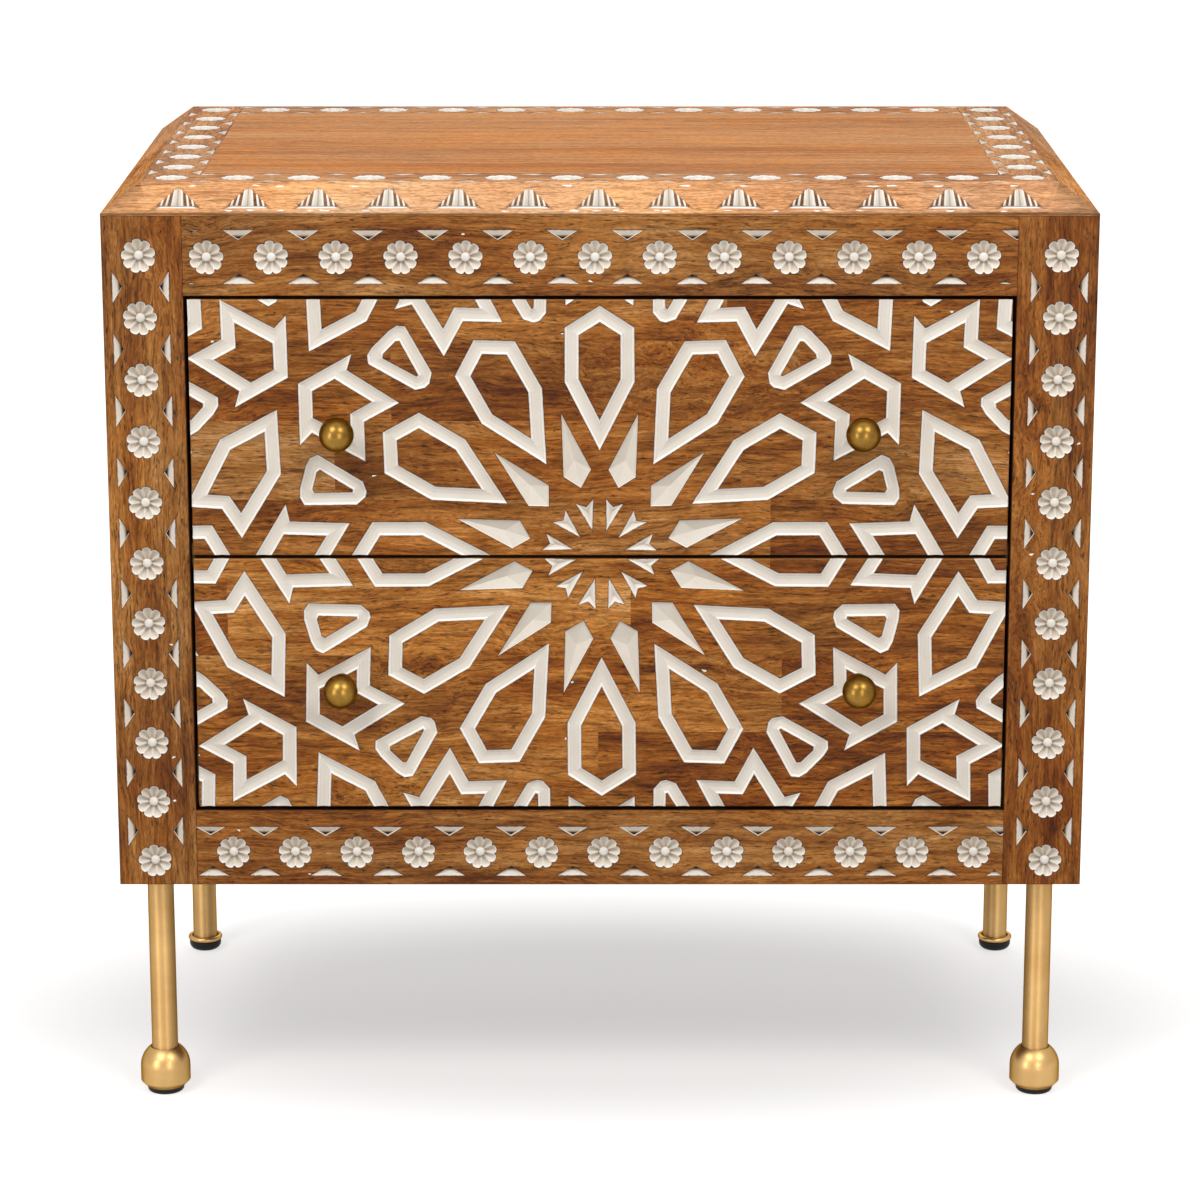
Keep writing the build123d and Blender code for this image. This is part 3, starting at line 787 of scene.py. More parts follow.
# ======== Wood
# A tone is (darkest streaks, dark, middle, light, brightest), as the eye reads them
FRONT_TONE = tones((86, 42, 12), (120, 66, 22), (150, 91, 35), (172, 114, 55), (194, 140, 84))
FRAME_TONE = tones((90, 46, 16), (122, 70, 27), (150, 94, 41), (168, 114, 58), (188, 136, 82))
# The top's tones are lighter than the face's: painted light, as the top and its front bevel
# face the lamps; the front bevel's is lightest.
PAINTED_LIGHT_TOP_TONE = tones((166, 104, 58), (188, 125, 74), (202, 140, 88), (212, 151, 98),
                 (222, 163, 110))
PAINTED_LIGHT_BORDER_TONE = tones((140, 88, 48), (172, 114, 66), (193, 136, 86), (206, 150, 100),
                    (218, 166, 118))
PAINTED_LIGHT_BEVEL_TONE = tones((166, 116, 80), (200, 144, 100), (218, 161, 114), (230, 176, 127),
                   (240, 196, 148))
CASE_TONE = tones((88, 46, 17), (120, 70, 29), (150, 94, 42), (170, 114, 58), (190, 138, 84))
INNER_TONE = tones((176, 134, 88), (198, 158, 110), (213, 178, 130), (225, 193, 147),
                   (235, 208, 168))
GAP_SHADOW_DEPTH = 13.0  # how far behind the face the walls of a gap are painted dark: painted gap shadow
ROW_STEP = 31.7  # parts the random numbers of the blocks of one plank and the next
FIGURE_SHIFT = 7.0  # metres by which the figure of one plank is moved, at the most


def tinted(tone, red, green, blue):
    """A tone with each colour multiplied, in the linear values of a shader."""
    return tuple((r * red, g * green, b * blue, 1.0) for r, g, b, _ in tone)


def grain_scale(axis, along, across):
    """Values for the three axes, of which one runs with the grain."""
    scale = [across] * 3
    scale["xyz".index(axis)] = along
    return tuple(scale)


def wood(name, axis, tone, plank_width=0.0, plank_axis="z", shine=0.55, gloss=0.13,
         figure_bend=0.03, line_strength=0.8, fleck_strength=1.0, length=1.0,
         ripple=0.005, block_length=0.0, plank_contrast=0.06, swirl=0.02,
         warmth_strength=1.0, painted_gap_shadow=False):
    """Hardwood with the grain along an axis: figure, streaks, fibres, pores, stain and wear,
    with painted shade and painted highlight.

    With a plank width, the board is glued up from planks that lie side by side, and with
    a block length each of those from shorter blocks.  Length stretches the long figure
    along the grain.  Ripple is how far the fibres wander and swirl how far they curl in
    a few places, in metres.  A painted gap shadow paints the walls black near the face, as
    shade in a gap.
    """
    shader = Shader(name)
    darkest, dark, middle, light, brightest = tone
    place = shader.node("TexCoord").outputs["Object"]
    spot = shader.vector("ADD", place, tuple(rng.uniform(-9.0, 9.0) for _ in range(3)))
    plank_tone = None
    if plank_width:
        parts = shader.split(place)
        number = row = shader.math(
            "FLOOR", shader.math("DIVIDE", parts["xyz".index(plank_axis)], plank_width))
        if block_length:
            along = shader.math("DIVIDE", parts["xyz".index(axis)], block_length)
            along = shader.math("ADD", along, shader.chance(row))
            block = shader.math("FLOOR", along)
            number = shader.math("MULTIPLY_ADD", block, ROW_STEP, row)
        shift = shader.scaled(shader.chance(number, "Color"), FIGURE_SHIFT)
        spot = shader.vector("ADD", spot, shift)
        plank_tone = shader.chance(number)

    bent = spot
    for along, across, sway in ((4.0, 9.0, figure_bend), (30.0, 80.0, ripple)):
        bend = shader.noise(grain_scale(axis, along, across), 3.0, 0.6, spot, "Color")
        bent = shader.vector("MULTIPLY_ADD", bend, grain_scale(axis, 0.0, sway), bent)
    where = shader.ramp(shader.noise(grain_scale(axis, 4.5, 7.0), source=spot),
                        [(0.56, 0.0), (0.68, 1.0)])
    curl = shader.scaled(shader.noise(48.0, 3.0, source=spot, output="Color"), where)
    bent = shader.vector("MULTIPLY_ADD", curl, (swirl,) * 3, bent)

    def grain(along, across, detail):
        return shader.noise(grain_scale(axis, along, across), detail, 0.6, bent)

    broad = grain(4.0 / length, 17.0, 3.0)
    streak = grain(9.0 / length, 120.0, 4.0)
    short = grain(40.0, 460.0, 3.0)
    line = grain(16.0, 620.0, 2.0)
    fibre = grain(200.0, 850.0, 2.0)
    pores = grain(105.0, 720.0, 1.0)
    figure = 0.0
    for part, share in ((broad, 0.42), (streak, 0.34), (short, 0.24)):
        figure = shader.math("MULTIPLY_ADD", part, share, figure)
    if plank_tone is not None:
        shift = shader.math("MULTIPLY_ADD", plank_tone, plank_contrast, -plank_contrast / 2)
        figure = shader.math("ADD", figure, shift)
    colour = shader.ramp(figure, [(0.37, darkest), (0.44, dark), (0.505, middle),
                                  (0.57, light), (0.65, brightest)])
    colour = shader.times(colour, grain(5.0, 11.0, 2.0), [
        (0.36, (0.93, 0.98, 1.1, 1.0)), (0.64, (1.07, 0.98, 0.82, 1.0))], warmth_strength)
    growth = shader.math("PINGPONG", shader.math("MULTIPLY", grain(2.2, 24.0, 2.0), 11.0), 0.5)
    for value, share, stops in (
            (growth, line_strength, [(0.0, 0.55), (0.05, 0.82), (0.14, 1.0)]),
            (line, line_strength, [(0.34, 0.46), (0.41, 0.84), (0.47, 1.0), (0.62, 1.08)]),
            (short, fleck_strength, [(0.28, 0.56), (0.35, 0.88), (0.41, 1.0), (0.66, 1.1)]),
            (pores, fleck_strength, [(0.29, 0.3), (0.34, 0.72), (0.39, 1.0)]),
            (fibre, 1.0, [(0.3, 0.7), (0.5, 1.0), (0.7, 1.24)])):
        colour = shader.times(colour, value, stops, share)
    # Painted gap shadow: black near the face, fading to wood further back.
    if painted_gap_shadow:
        behind = shader.math("SUBTRACT", shader.split(place)["Y"], FACE_Y * MM)
        behind = shader.math("DIVIDE", behind, GAP_SHADOW_DEPTH * MM)
        colour = shader.times(colour, behind, [(0.15, 0.07), (0.5, 0.28), (1.0, 0.8)])

    # Darker at joints (stain), at cut edges (rubbed wood and painted shade) and in shell flutes
    # (painted shade).
    stain, grime = shader.attribute("stain"), shader.attribute("grime")
    colour = shader.times(colour, stain, [(0.0, 1.0), (0.5, 0.72), (1.0, 0.3)])
    colour = shader.times(colour, shader.math("MULTIPLY", grime, 0.5),
                          [(0.2, 1.0), (1.0, 0.4)])
    # Rounded outer edges turn lighter: wear and painted highlight.
    worn_and_highlit = shader.math("MULTIPLY", shader.attribute("wear"), broad)
    colour = shader.mix(shader.ramp(worn_and_highlit, [(0.2, 0.0), (0.7, 0.55)]), colour, brightest)
    normal = shader.bump(pores, 0.3, 0.0006, under=shader.bump(fibre, 0.2, 0.0004))
    return shader.finish(colour, shader.math("MULTIPLY_ADD", short, 0.24, shine - 0.08),
                         normal, gloss=gloss)


# ======== The other finishes
# Edge tints of the brass, darker than real brass's: painted shade at grazing angles, in place
# of dark reflections.
PAINTED_SHADE_EDGE_BRASS = (0.2, 0.13, 0.06, 1.0)
PAINTED_SHADE_EDGE_AGED_BRASS = (0.5, 0.4, 0.25, 1.0)


def paint(name, lift=0):
    """Off-white paint in the cuts: brushed, a little grey in places, greyed by painted shade in
    creases, floors and pits, and brown at the rim, partly worn and partly painted shade.
    """
    shader = Shader(name)
    cloud = shader.noise(28.0, 4.0, 0.6)
    grain = shader.noise(260.0, 3.0, 0.7)
    colour = shader.ramp(cloud, [
        (0.3, srgb(241 + lift, 235 + lift, 227 + lift)),
        (0.5, srgb(247 + lift, 242 + lift, 235 + lift)),
        (0.7, srgb(251 + lift, 247 + lift, 241 + lift))])
    colour = shader.times(colour, grain, [(0.28, 0.93), (0.42, 1.0)])
    # Painted shade: grey along creases and floors, dark brown in the deepest pits.
    colour = shader.times(colour, shader.math("MULTIPLY", shader.attribute("grime"), 0.5), [
        (0.0, 1.0), (0.1, srgb(243, 241, 237)), (0.17, srgb(233, 229, 222)),
        (0.4, srgb(228, 221, 211)), (0.5, srgb(219, 209, 197)),
        (0.75, srgb(142, 124, 106)), (0.96, srgb(40, 28, 20))])
    # Brown at the rim of a cut: partly worn paint and partly painted shade.
    edge = shader.math("MULTIPLY_ADD", grain, 0.5, shader.attribute("stain"))
    rim = shader.ramp(shader.math("MULTIPLY", edge, 0.7), [
        (0.6, 0.0), (0.76, 0.16), (0.86, 0.85)])
    colour = shader.mix(rim, colour, srgb(120, 76, 40))
    return shader.finish(colour, shader.math("MULTIPLY_ADD", grain, 0.2, 0.5),
                         shader.bump(grain, 0.25, 0.0004), gloss=0.3)


def brass(name, colours, shine, tarnish, brushed=0.0, edge=PAINTED_SHADE_EDGE_BRASS):
    """Brass, finely brushed round the Z axis, with clouds of tarnish, and an edge tint that
    paints shade into its grazing edges.
    """
    shader = Shader(name)
    shader.set("Specular Tint", edge)
    if brushed:
        around = shader.node("Tangent", direction_type="RADIAL", axis="Z")
        shader.set("Tangent", around.outputs[0])
        shader.set("Anisotropic", brushed)
        shader.set("Anisotropic Rotation", 0.25)
    clouds = shader.noise(tarnish, 4.0, 0.6)
    lines = shader.noise((60.0, 60.0, 2600.0))
    colour = shader.ramp(clouds, list(zip((0.32, 0.5, 0.68), colours)))
    colour = shader.times(colour, shader.noise(700.0), [(0.24, 0.72), (0.34, 1.0)])
    roughness = shader.math("MULTIPLY_ADD", lines, 0.1, shine - 0.05)
    roughness = shader.math("MULTIPLY_ADD", clouds, 0.08, roughness)
    return shader.finish(colour, roughness, shader.bump(lines, 0.05, 0.0001), metallic=1.0)


def rubber(name):
    """Black rubber with a fine moulded grain and dust."""
    shader = Shader(name)
    dust = shader.noise(60.0, 4.0)
    colour = shader.ramp(dust, [(0.35, srgb(12, 11, 10)), (0.7, srgb(22, 21, 20))])
    return shader.finish(colour, shader.math("MULTIPLY_ADD", dust, 0.25, 0.42),
                         shader.bump(shader.noise(900.0), 0.25, 0.0003), gloss=0.25)


def steel(name):
    """Zinc-plated steel, slightly mottled."""
    shader = Shader(name)
    mottle = shader.noise(180.0, 4.0, 0.65)
    colour = shader.ramp(mottle, [(0.35, srgb(138, 138, 134)), (0.65, srgb(182, 181, 176))])
    return shader.finish(colour, shader.math("MULTIPLY_ADD", mottle, 0.25, 0.25),
                         shader.bump(mottle, 0.1, 0.0002), metallic=1.0)


PAINT = paint("white_paint")
# The top's paint, a shade darker: painted shade against the stronger light on the top.
TOP_PAINT = paint("bright_paint", -2)
# Wood for the walls of gaps, painted black near the face: painted gap shadow.
GAP_SHADOW_WOOD = wood("dark_edge_wood", "x", FRONT_TONE, shine=0.8, gloss=0.05, painted_gap_shadow=True)
BRASS_TONES = tones((190, 151, 96), (198, 160, 104), (206, 169, 112))
AGED_TONES = tones((112, 82, 34), (132, 99, 43), (148, 113, 53))
LEG_BRASS = brass("satin_brass", BRASS_TONES, 0.33, 22.0)
TUBE_BRASS = brass("brushed_brass", BRASS_TONES, 0.5, 22.0, brushed=0.8)
KNOB_BRASS = brass("aged_brass", AGED_TONES, 0.27, 60.0, edge=PAINTED_SHADE_EDGE_AGED_BRASS)
RUBBER = rubber("black_rubber")
STEEL = steel("zinc_steel")


# ======== Carved pieces
ARRIS = 0.5  # radius of an edge that meets another board
FRONT_RADIUS = 1.5  # radius of the edges of a drawer front
OUTER_RADIUS = 2.4  # radius of the face's outer edges
TOP_RADIUS = 1.6  # radius of the lowest edge of the top's bevels
FRONT_SPECKS = 9
FRAME_SPECKS = 4
BEVEL_SPECKS = 34
RAIL_SPECKS_AWAY = 19.0  # from the middle of the row of flowers
STILE_SPECKS_AWAY = 18.0

# Drawer fronts: how far the pattern's centre is from the middle of the seam, and the tone
# The lower front's wood is a lighter copy: painted light, as the lamps light it less than the
# upper.
for drawer, shift, tone in (("lower", (1.4, 4.0), tinted(FRONT_TONE, 1.16, 1.2, 1.2)),
                            ("upper", (-0.3, 0.5), FRONT_TONE)):
    low, high = box_mm(drawer + "_drawer_front")
    outline = rectangle(low.x, low.z, high.x, high.z)
    facets = []
    for _ in range(FRONT_SPECKS):
        facets += speck((rng.uniform(low.x, high.x), rng.uniform(low.z, high.z)))
    facets += front_facets(outline, shift)
    upright_board(drawer + "_carved_front", drawer + "_drawer_front", outline,
                  [FRONT_RADIUS] * 4, facets,
                  wood(drawer + "_front_wood", "x", tone, plank_width=0.0655,
                       block_length=0.33, plank_contrast=0.1),
                  body=drawer + "_drawer", slot="drawer_front_wood")


def spread(start, end, count):
    """Evenly spaced values from start to end."""
    return [start + (end - start) * index / (count - 1) for index in range(count)]


def flower_row(places, level, chip_levels, upright=False, ends=True):
    """A row of flowers along u, or along v where it is upright, with chips beside it.

    Level is where the flowers' middles lie across the row, and chip levels where the
    chips' bases do; the chips point to the row.
    """
    def point(along, across):
        return (across, along) if upright else (along, across)

    facets = []
    for place in places if ends else places[1:-1]:
        facets += flower(point(place, level))
    for here, after in zip(places, places[1:]):
        for base in chip_levels:
            angle = 90.0 if base < level else -90.0
            facets += chip(point((here + after) / 2, base), 90.0 - angle if upright else angle)
    return facets


# A rail's row of flowers: its first and last place, then the heights above the rail's foot
# of the flowers and of the bases of the low and the high chips
RAIL_FLOWERS = 13
RAIL_ROWS = {
    "top": (-315.7, 307.7, 31.3, 9.8, 53.6),
    "bottom": (-304.6, 310.6, 28.2, 7.7, 50.6),
}
# The chips at a rail's ends: (side, whether high, middle from the end, width, height)
RAIL_END_CHIPS = {
    "top": [(-1, True, 9.0, 10.0, 2.0), (-1, False, 7.0, 5.0, 1.6),
            (1, True, 1.0, CHIP_WIDTH, CHIP_HEIGHT), (1, False, 9.5, 10.0, 2.6)],
    "bottom": [(-1, True, 11.5, CHIP_WIDTH, 7.4), (-1, False, 13.5, CHIP_WIDTH, CHIP_HEIGHT),
               (1, True, 2.0, CHIP_WIDTH, CHIP_HEIGHT), (1, False, 7.0, 13.0, 4.8)],
}
for rail, (first, last, level, low_base, high_base) in RAIL_ROWS.items():
    low, high = box_mm("front_rail_" + rail)
    level, low_base, high_base = low.z + level, low.z + low_base, low.z + high_base
    facets = []
    for _ in range(FRAME_SPECKS):
        facets += speck((rng.uniform(first, last),
                         level + rng.choice((-1, 1)) * RAIL_SPECKS_AWAY))
    facets += flower_row(spread(first, last, RAIL_FLOWERS), level, (low_base, high_base))
    for side, is_high, middle, width, height in RAIL_END_CHIPS[rail]:
        facets += chip((side * (OPENING_X - middle), high_base if is_high else low_base),
                       -90.0 if is_high else 90.0, width, height)
    upright_board(rail + "_carved_rail", "front_rail_" + rail,
                  rectangle(-OPENING_X, low.z, OPENING_X, high.z), [ARRIS * 2, ARRIS] * 2,
                  facets, wood(rail + "_rail_wood", "x", FRAME_TONE))

STILE_FLOWERS = 11
STILE_FLOWER_X = CASE_X - 30.0
STILE_ROW = (STILE_LOW.z + 21.0, STILE_HIGH.z - 32.3)  # the first and the last flower
STILE_OUTER_CHIPS = 8.1  # from the outer edge of the stile to their bases
STILE_INNER_CHIPS = 54.2
# The right stile's wood is a darker copy: painted shade, as that side gets less light.
for side, sign, tone in (("left", -1, FRAME_TONE),
                         ("right", 1, tinted(FRAME_TONE, 0.9, 0.83, 0.72))):
    facets = []
    for _ in range(FRAME_SPECKS):
        facets += speck((sign * (STILE_FLOWER_X + rng.choice((-1, 1)) * STILE_SPECKS_AWAY),
                         rng.uniform(STILE_LOW.z, STILE_HIGH.z)))
    bases = [sign * (CASE_X - chips) for chips in (STILE_OUTER_CHIPS, STILE_INNER_CHIPS)]
    facets += flower_row(spread(*STILE_ROW, STILE_FLOWERS), sign * STILE_FLOWER_X, bases,
                         upright=True)
    inner, outer = sorted((sign * OPENING_X, sign * CASE_X))
    right_radius, left_radius = (OUTER_RADIUS, ARRIS)[::sign]
    upright_board(side + "_carved_stile", "front_stile_" + side,
                  rectangle(inner, STILE_LOW.z, outer, STILE_HIGH.z),
                  [ARRIS * 2, right_radius, ARRIS * 2, left_radius], facets,
                  wood(side + "_stile_wood", "z", tone, plank_width=0.0365,
                       plank_axis="x", plank_contrast=0.05))

# ======== Border of the top
FLAT_X = CASE_X - BEVEL_WIDTH  # where the bevels of the top begin
FLAT_Y = FACE_Y + BEVEL_WIDTH
BORDER_MIDDLE = BORDER_WIDTH / 2
TOP_FLOWERS_X = 14  # along the front and the back, corners included
TOP_FLOWERS_Y = 8  # along each side, corners included
CHIP_MARGIN = 1.6  # between a chip's base and the edge of the border


def top_facets():
    """The carving of the flat border, as (X, Y) outlines seen from above."""
    facets = []
    edge_x = FLAT_X - BORDER_MIDDLE
    levels = (FLAT_Y + BORDER_MIDDLE, BACK_Y - BORDER_MIDDLE)
    reach = BORDER_MIDDLE - CHIP_MARGIN
    for level in levels:
        facets += flower_row(spread(-edge_x, edge_x, TOP_FLOWERS_X), level,
                             (level - reach, level + reach))
    for level in (-edge_x, edge_x):
        facets += flower_row(spread(*levels, TOP_FLOWERS_Y), level,
                             (level - reach, level + reach), upright=True, ends=False)
    return facets


TOP_FACETS = top_facets()

SHELLS = 13
SHELL_ROW = (-338.7, 336.7)  # the first and the last shell
SHELL_BASE = -30.4  # down the bevel from its upper edge
SPECK_ROWS = (SHELL_BASE - 3.2, SHELL_BASE - 3.2, -5.0)  # most lie below the shells

facets = []
for _ in range(BEVEL_SPECKS):
    level = rng.choice(SPECK_ROWS) + rng.uniform(-0.8, 0.8)
    facets += speck((rng.uniform(*SHELL_ROW), level), stretch=3.6, tilt=4)
for place in spread(*SHELL_ROW, SHELLS):
    facets += shell((place, SHELL_BASE))
border_board("front", [(-CASE_X, -BEVEL_LENGTH), (CASE_X, -BEVEL_LENGTH), (FLAT_X, 0.0),
                       (PANEL_X, BORDER_WIDTH), (-PANEL_X, BORDER_WIDTH), (-FLAT_X, 0.0)],
             [TOP_RADIUS, 0.0, 0.0, ARRIS, 0.0, 0.0],
             [wood("front_border_wood", "x", PAINTED_LIGHT_BORDER_TONE, gloss=0.02),
              wood("front_bevel_wood", "x", PAINTED_LIGHT_BEVEL_TONE, gloss=0.02, swirl=0.0,
                   figure_bend=0.012, ripple=0.003, line_strength=0.5, fleck_strength=0.6)],
             (0, FLAT_Y, TOP_Z), (0, 1, 0), (1, 0, 0),
             folds=[[(-FLAT_X, 0.0), (FLAT_X, 0.0)]], extra=facets)
for side, sign in (("left", -1), ("right", 1)):
    border_board(side, [(FACE_Y, -BEVEL_LENGTH), (BACK_Y, -BEVEL_LENGTH), (BACK_Y, 0.0),
                        (BACK_Y, BORDER_WIDTH), (FLAT_Y + BORDER_WIDTH, BORDER_WIDTH),
                        (FLAT_Y, 0.0)],
                 [TOP_RADIUS, ARRIS, ARRIS, ARRIS, 0.0, 0.0],
                 [wood(side + "_" + part + "_wood", "y", PAINTED_LIGHT_BORDER_TONE, gloss=0.02)
                  for part in ("border", "bevel")],
                 (sign * FLAT_X, 0, TOP_Z), (-sign, 0, 0), (0, 1, 0),
                 folds=[[(FLAT_Y, 0.0), (BACK_Y, 0.0)]])
border_board("back", rectangle(-PANEL_X, 0.0, PANEL_X, BORDER_WIDTH), [ARRIS] * 4,
             [wood("back_border_wood", "x", PAINTED_LIGHT_BORDER_TONE, gloss=0.02)],
             (0, BACK_Y, TOP_Z), (0, -1, 0), (1, 0, 0))

# ======== Feet
TURNING_STEPS = 64
SHARP_ANGLE = math.radians(32)


def turning(name, outline, node, slot, material):
    """A turned piece in the place of a node: outline is (radius, height) from outside in.

    Heights are in millimetres above the floor, and the axis is that of the node.
    """
    low, high = box_mm(node)
    x, y = (low.x + high.x) / 2, (low.y + high.y) / 2
    shape = bmesh.new()
    columns = []
    for step in range(TURNING_STEPS):
        angle = 360.0 * step / TURNING_STEPS
        columns.append([shape.verts.new(Vector((*polar(radius, angle, (x, y)), height)) * MM)
                        for radius, height in outline])
    for here, after in pairs(columns):
        for (a, d), (b, c) in zip(pairs(here), pairs(after)):
            shape.faces.new([a, b, c, d])
    bmesh.ops.remove_doubles(shape, verts=shape.verts, dist=1e-7)
    bmesh.ops.recalc_face_normals(shape, faces=shape.faces)
    piece = new_piece(name, shape, material)
    piece.data.shade_smooth()
    piece.data.set_sharp_from_angle(angle=SHARP_ANGLE)
    stand_for(piece, node, "cabinet", slot)


def arc(centre, radius, start, end, steps):
    """Points of an arc about (radius, height), from one angle in degrees to another."""
    return [polar(radius, start + (end - start) * step / steps, centre)
            for step in range(steps + 1)]


CUP_RADIUS = 21.0
CUP_FOOT_Z = 5.0
CUP_BAND_Z = 9.5  # where the taper ends and the straight band begins
CUP_DOME_Z = 22.5
SOCKET_RADIUS = 11.2
CUP_TOP_ANGLE = 54.0  # where the dome stops, short of the tube
COLLAR_FOOT_Z = 9.0
CUP_OUTLINE = (
    [(15.7, CUP_FOOT_Z), (16.3, CUP_FOOT_Z), (20.4, CUP_BAND_Z - 0.5),
     (20.4, CUP_BAND_Z), (CUP_RADIUS, CUP_BAND_Z + 0.4)]
    + arc((0.0, CUP_DOME_Z), CUP_RADIUS, 0.0, CUP_TOP_ANGLE, 20)
    + [(SOCKET_RADIUS + 0.4, 39.2), (SOCKET_RADIUS, 37.6), (SOCKET_RADIUS, 21.0),
       (5.0, 20.9), (5.0, CUP_FOOT_Z)]
)
COLLAR_OUTLINE = (
    [(SOCKET_RADIUS, COLLAR_FOOT_Z), (12.0, COLLAR_FOOT_Z)]
    + arc((13.4, 11.3), 2.3, -95.0, 110.0, 14)
    + [(11.9, 12.6), (11.5, 11.4), (SOCKET_RADIUS, 11.2)]
)
REAR_PAD_OUTLINE = (
    [(0.0, 0.0), (8.6, 0.0)] + arc((8.6, 6.0), 6.0, -80.0, 0.0, 8)
    + [(14.5, 8.6), (14.1, 9.0), (9.2, 9.0), (9.2, 11.0), (0.0, 11.0)]
)
FRONT_PAD_OUTLINE = (
    [(0.0, 0.0), (13.0, 0.0)] + arc((13.0, 2.4), 2.4, -75.0, 0.0, 6)
    + [(15.5, 2.8), (15.5, 5.0), (4.8, 5.0), (4.8, 20.0), (0.0, 20.0)]
)
for side in ("left", "right"):
    for name, outline, node, slot, material in (
            ("front_cup_", CUP_OUTLINE, "foot_cup_front_", "satin_brass", LEG_BRASS),
            ("rear_collar_", COLLAR_OUTLINE, "foot_collar_rear_", "satin_brass", LEG_BRASS),
            ("front_pad_", FRONT_PAD_OUTLINE, "foot_pad_front_", "rubber", RUBBER),
            ("rear_pad_", REAR_PAD_OUTLINE, "foot_pad_rear_", "rubber", RUBBER)):
        turning(name + side, outline, node + side, slot, material)

# ======== Pieces kept from the CAD
PLAIN_WOOD = {"shine": 0.6, "fleck_strength": 0.4, "line_strength": 0.35, "length": 2.0,
              "swirl": 0.0, "warmth_strength": 0.35}
# What a node's name holds, and its material; the first that fits counts
CARRIED = {
    "top_panel": wood("top_panel_wood", "x", PAINTED_LIGHT_TOP_TONE, plank_width=0.092, plank_axis="y",
                      figure_bend=0.012, line_strength=0.4, fleck_strength=0.35,
                      length=3.5, gloss=0.015, shine=0.65, ripple=0.003, swirl=0.0),
    "side_panel": wood("side_panel_wood", "y", CASE_TONE, plank_width=0.11, length=2.2,
                       figure_bend=0.018, warmth_strength=0.7),
    "back_panel": wood("back_panel_wood", "z", tinted(INNER_TONE, 1.0, 0.97, 0.9),
                       **PLAIN_WOOD),
    "bottom_panel": wood("bottom_panel_wood", "x", CASE_TONE, plank_width=0.12,
                         plank_axis="y"),
    "leg_plate": STEEL,
    "runner_screws": STEEL,
    "knob_screws": STEEL,
    "leg_tube": TUBE_BRASS,
    "_knob_": KNOB_BRASS,
    "_drawer_bottom": wood("drawer_bottom_wood", "x", INNER_TONE, **PLAIN_WOOD),
    "_drawer_back": wood("drawer_back_wood", "x", INNER_TONE, **PLAIN_WOOD),
    "_rail": wood("inner_rail_wood", "x", INNER_TONE, **PLAIN_WOOD),
    "": wood("inner_wood", "y", INNER_TONE, **PLAIN_WOOD),
}
for name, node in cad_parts.items():
    if node.hide_render:
        continue
    word = next(word for word in CARRIED if word in name)
    node.data.materials.clear()
    node.data.materials.append(CARRIED[word])
    node.data.shade_smooth()
    node.data.set_sharp_from_angle(angle=SHARP_ANGLE)

# ======== Floor and light
WHITE = (1.0, 1.0, 1.0, 1.0)
FLOOR_SIZE = 30.0
FLOOR_COLOUR = (0.47, 0.455, 0.445, 1.0)
FLOOR_GLOW_IN_PAINTED_SHADOW = 0.51  # the floor's glow under the chest, lower there as a painted shadow, and far away
FLOOR_GLOW_FAR = 1.0
GLOW_REACH = (0.85, 0.46)  # metres along X and Y at which it is white
GLOW_START = 0.35  # share of that reach up to which the glow is the near one
WORLD_LIGHT = 0.38


def white_to_camera(shader):
    """An output that is 1 for camera, mirror and glass rays, which see a white studio."""
    path = shader.node("LightPath").outputs
    seen = path["Is Camera Ray"]
    for ray in ("Is Glossy Ray", "Is Transmission Ray"):
        seen = shader.math("MAXIMUM", seen, path[ray])
    return seen


shader = Shader("studio_floor")
away = shader.coordinates((1.0 / GLOW_REACH[0], 1.0 / GLOW_REACH[1], 1.0))
away = shader.node("VectorMath", [(0, away)], operation="LENGTH").outputs["Value"]
# The floor's glow is lower under the chest: a painted shadow.
glow_with_painted_shadow = shader.map_range(away, FLOOR_GLOW_IN_PAINTED_SHADOW, FLOOR_GLOW_FAR, GLOW_START, "SMOOTHSTEP")
shader.set("Emission Strength", shader.math("MULTIPLY", glow_with_painted_shadow, white_to_camera(shader)))
shader.set("Emission Color", WHITE)
floor_shape = bmesh.new()
bmesh.ops.create_grid(floor_shape, x_segments=1, y_segments=1, size=FLOOR_SIZE / 2)
floor = new_piece("floor", floor_shape, shader.finish(FLOOR_COLOUR, 0.9, gloss=0.0))

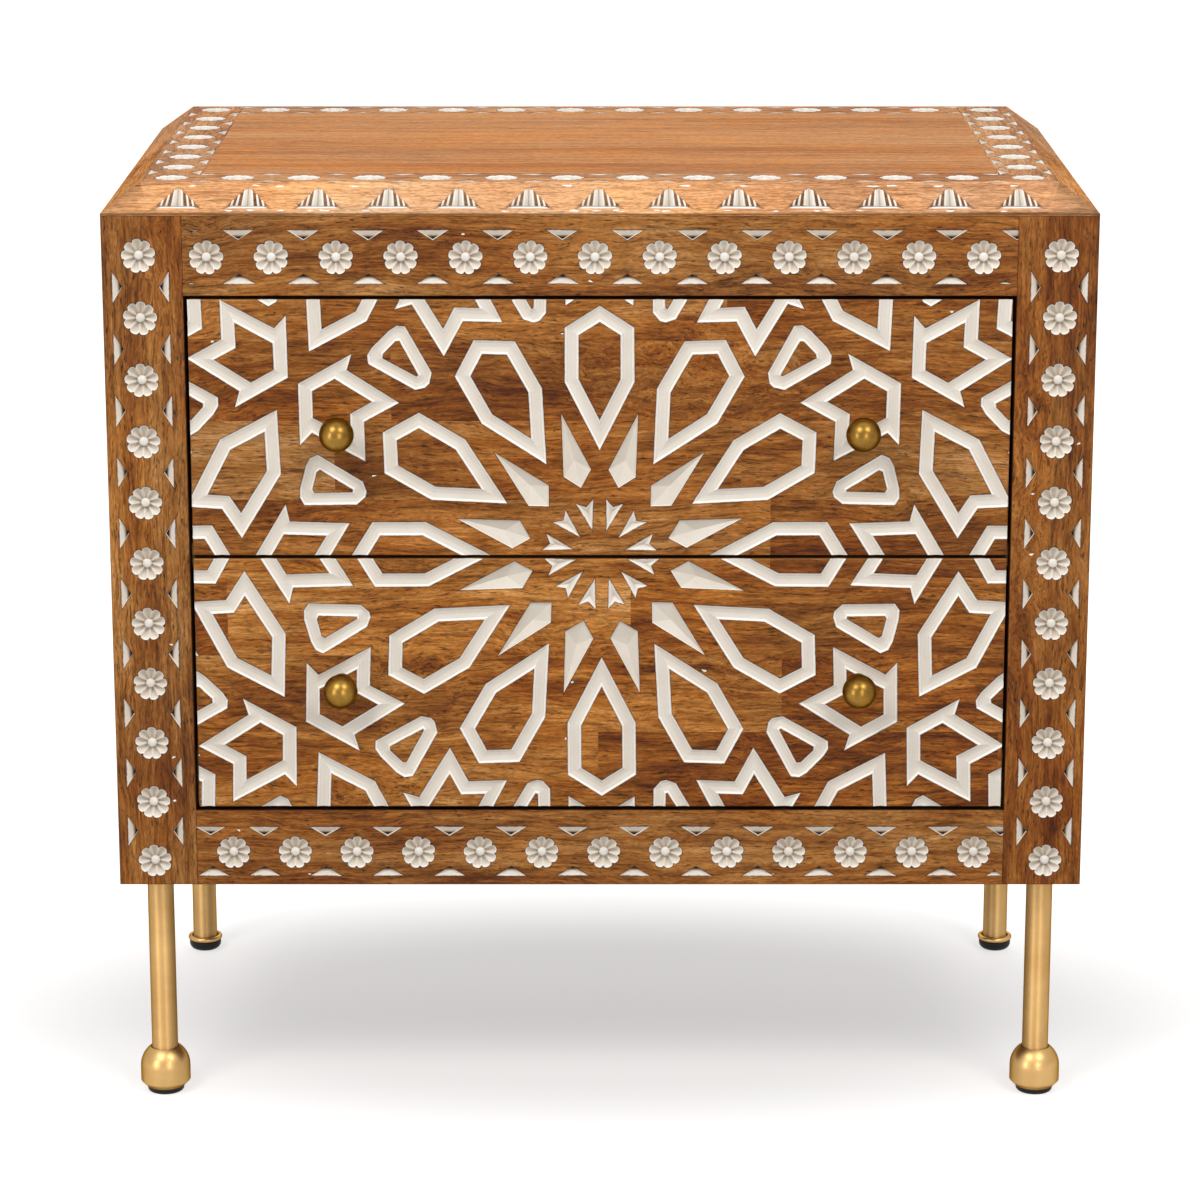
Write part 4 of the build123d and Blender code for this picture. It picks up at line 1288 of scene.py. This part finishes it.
bpy.context.scene.world = bpy.data.worlds.new("studio")
shader = Shader("studio", bpy.context.scene.world, "Background")
shader.set("Color", WHITE)
shader.set("Strength", shader.map_range(white_to_camera(shader), WORLD_LIGHT, 1.0))

# The lamps: (name, place, what it faces, width, height, watts).  The two strips stand in
# the brass as its two bright stripes, and only gloss shows them; gloss doesn't show the fill.
CENTRE = (0.0, -0.1, 0.45)
FEET = (0.0, 0.0, 0.2)
lamps = {}
for name, place, target, width, height, power in (
        ("left_softbox", (-1.5, -2.25, 3.05), CENTRE, 1.3, 1.3, 52.0),
        ("right_softbox", (1.5, -2.25, 3.05), CENTRE, 1.3, 1.3, 46.0),
        ("front_fill", (0.0, -3.4, 0.8), CENTRE, 1.6, 1.0, 11.5),
        ("overhead_softbox", (0.0, -0.1, 3.0), CENTRE, 2.0, 1.6, 5.0),
        ("back_softbox", (0.0, 3.0, 2.2), CENTRE, 2.4, 1.6, 22.0),
        ("left_strip", (-2.1, -2.4, 0.75), FEET, 0.25, 1.4, 20.0),
        ("right_strip", (0.95, -3.0, 0.75), FEET, 0.25, 1.4, 16.0)):
    light = bpy.data.lights.new(name, "AREA")
    light.shape = "RECTANGLE"
    light.size, light.size_y, light.energy = width, height, power
    lamp = lamps[name] = in_scene(name, light)
    lamp.location = place
    towards = Vector(target) - Vector(place)
    lamp.rotation_euler = towards.to_track_quat("-Z", "Y").to_euler()
lamps["front_fill"].visible_glossy = False
lamps["left_strip"].visible_diffuse = False
lamps["right_strip"].visible_diffuse = False

# ======== Camera
CAMERA_TO_FACE = 3.28  # metres, level, from the camera to the face
CAMERA_HEIGHT = 1.288
CAMERA_PITCH = 14.496  # degrees below the level
CAMERA_LENS = 124.2

camera_data = bpy.data.cameras.new("camera")
camera_data.lens = CAMERA_LENS
camera_data.sensor_width = 36.0
camera = in_scene("camera", camera_data)
camera.location = (0.0, FACE_Y * MM - CAMERA_TO_FACE, CAMERA_HEIGHT)
camera.rotation_euler = (math.radians(90.0 - CAMERA_PITCH), 0.0, 0.0)
bpy.context.scene.camera = camera
bpy.context.scene.view_settings.view_transform = "Standard"
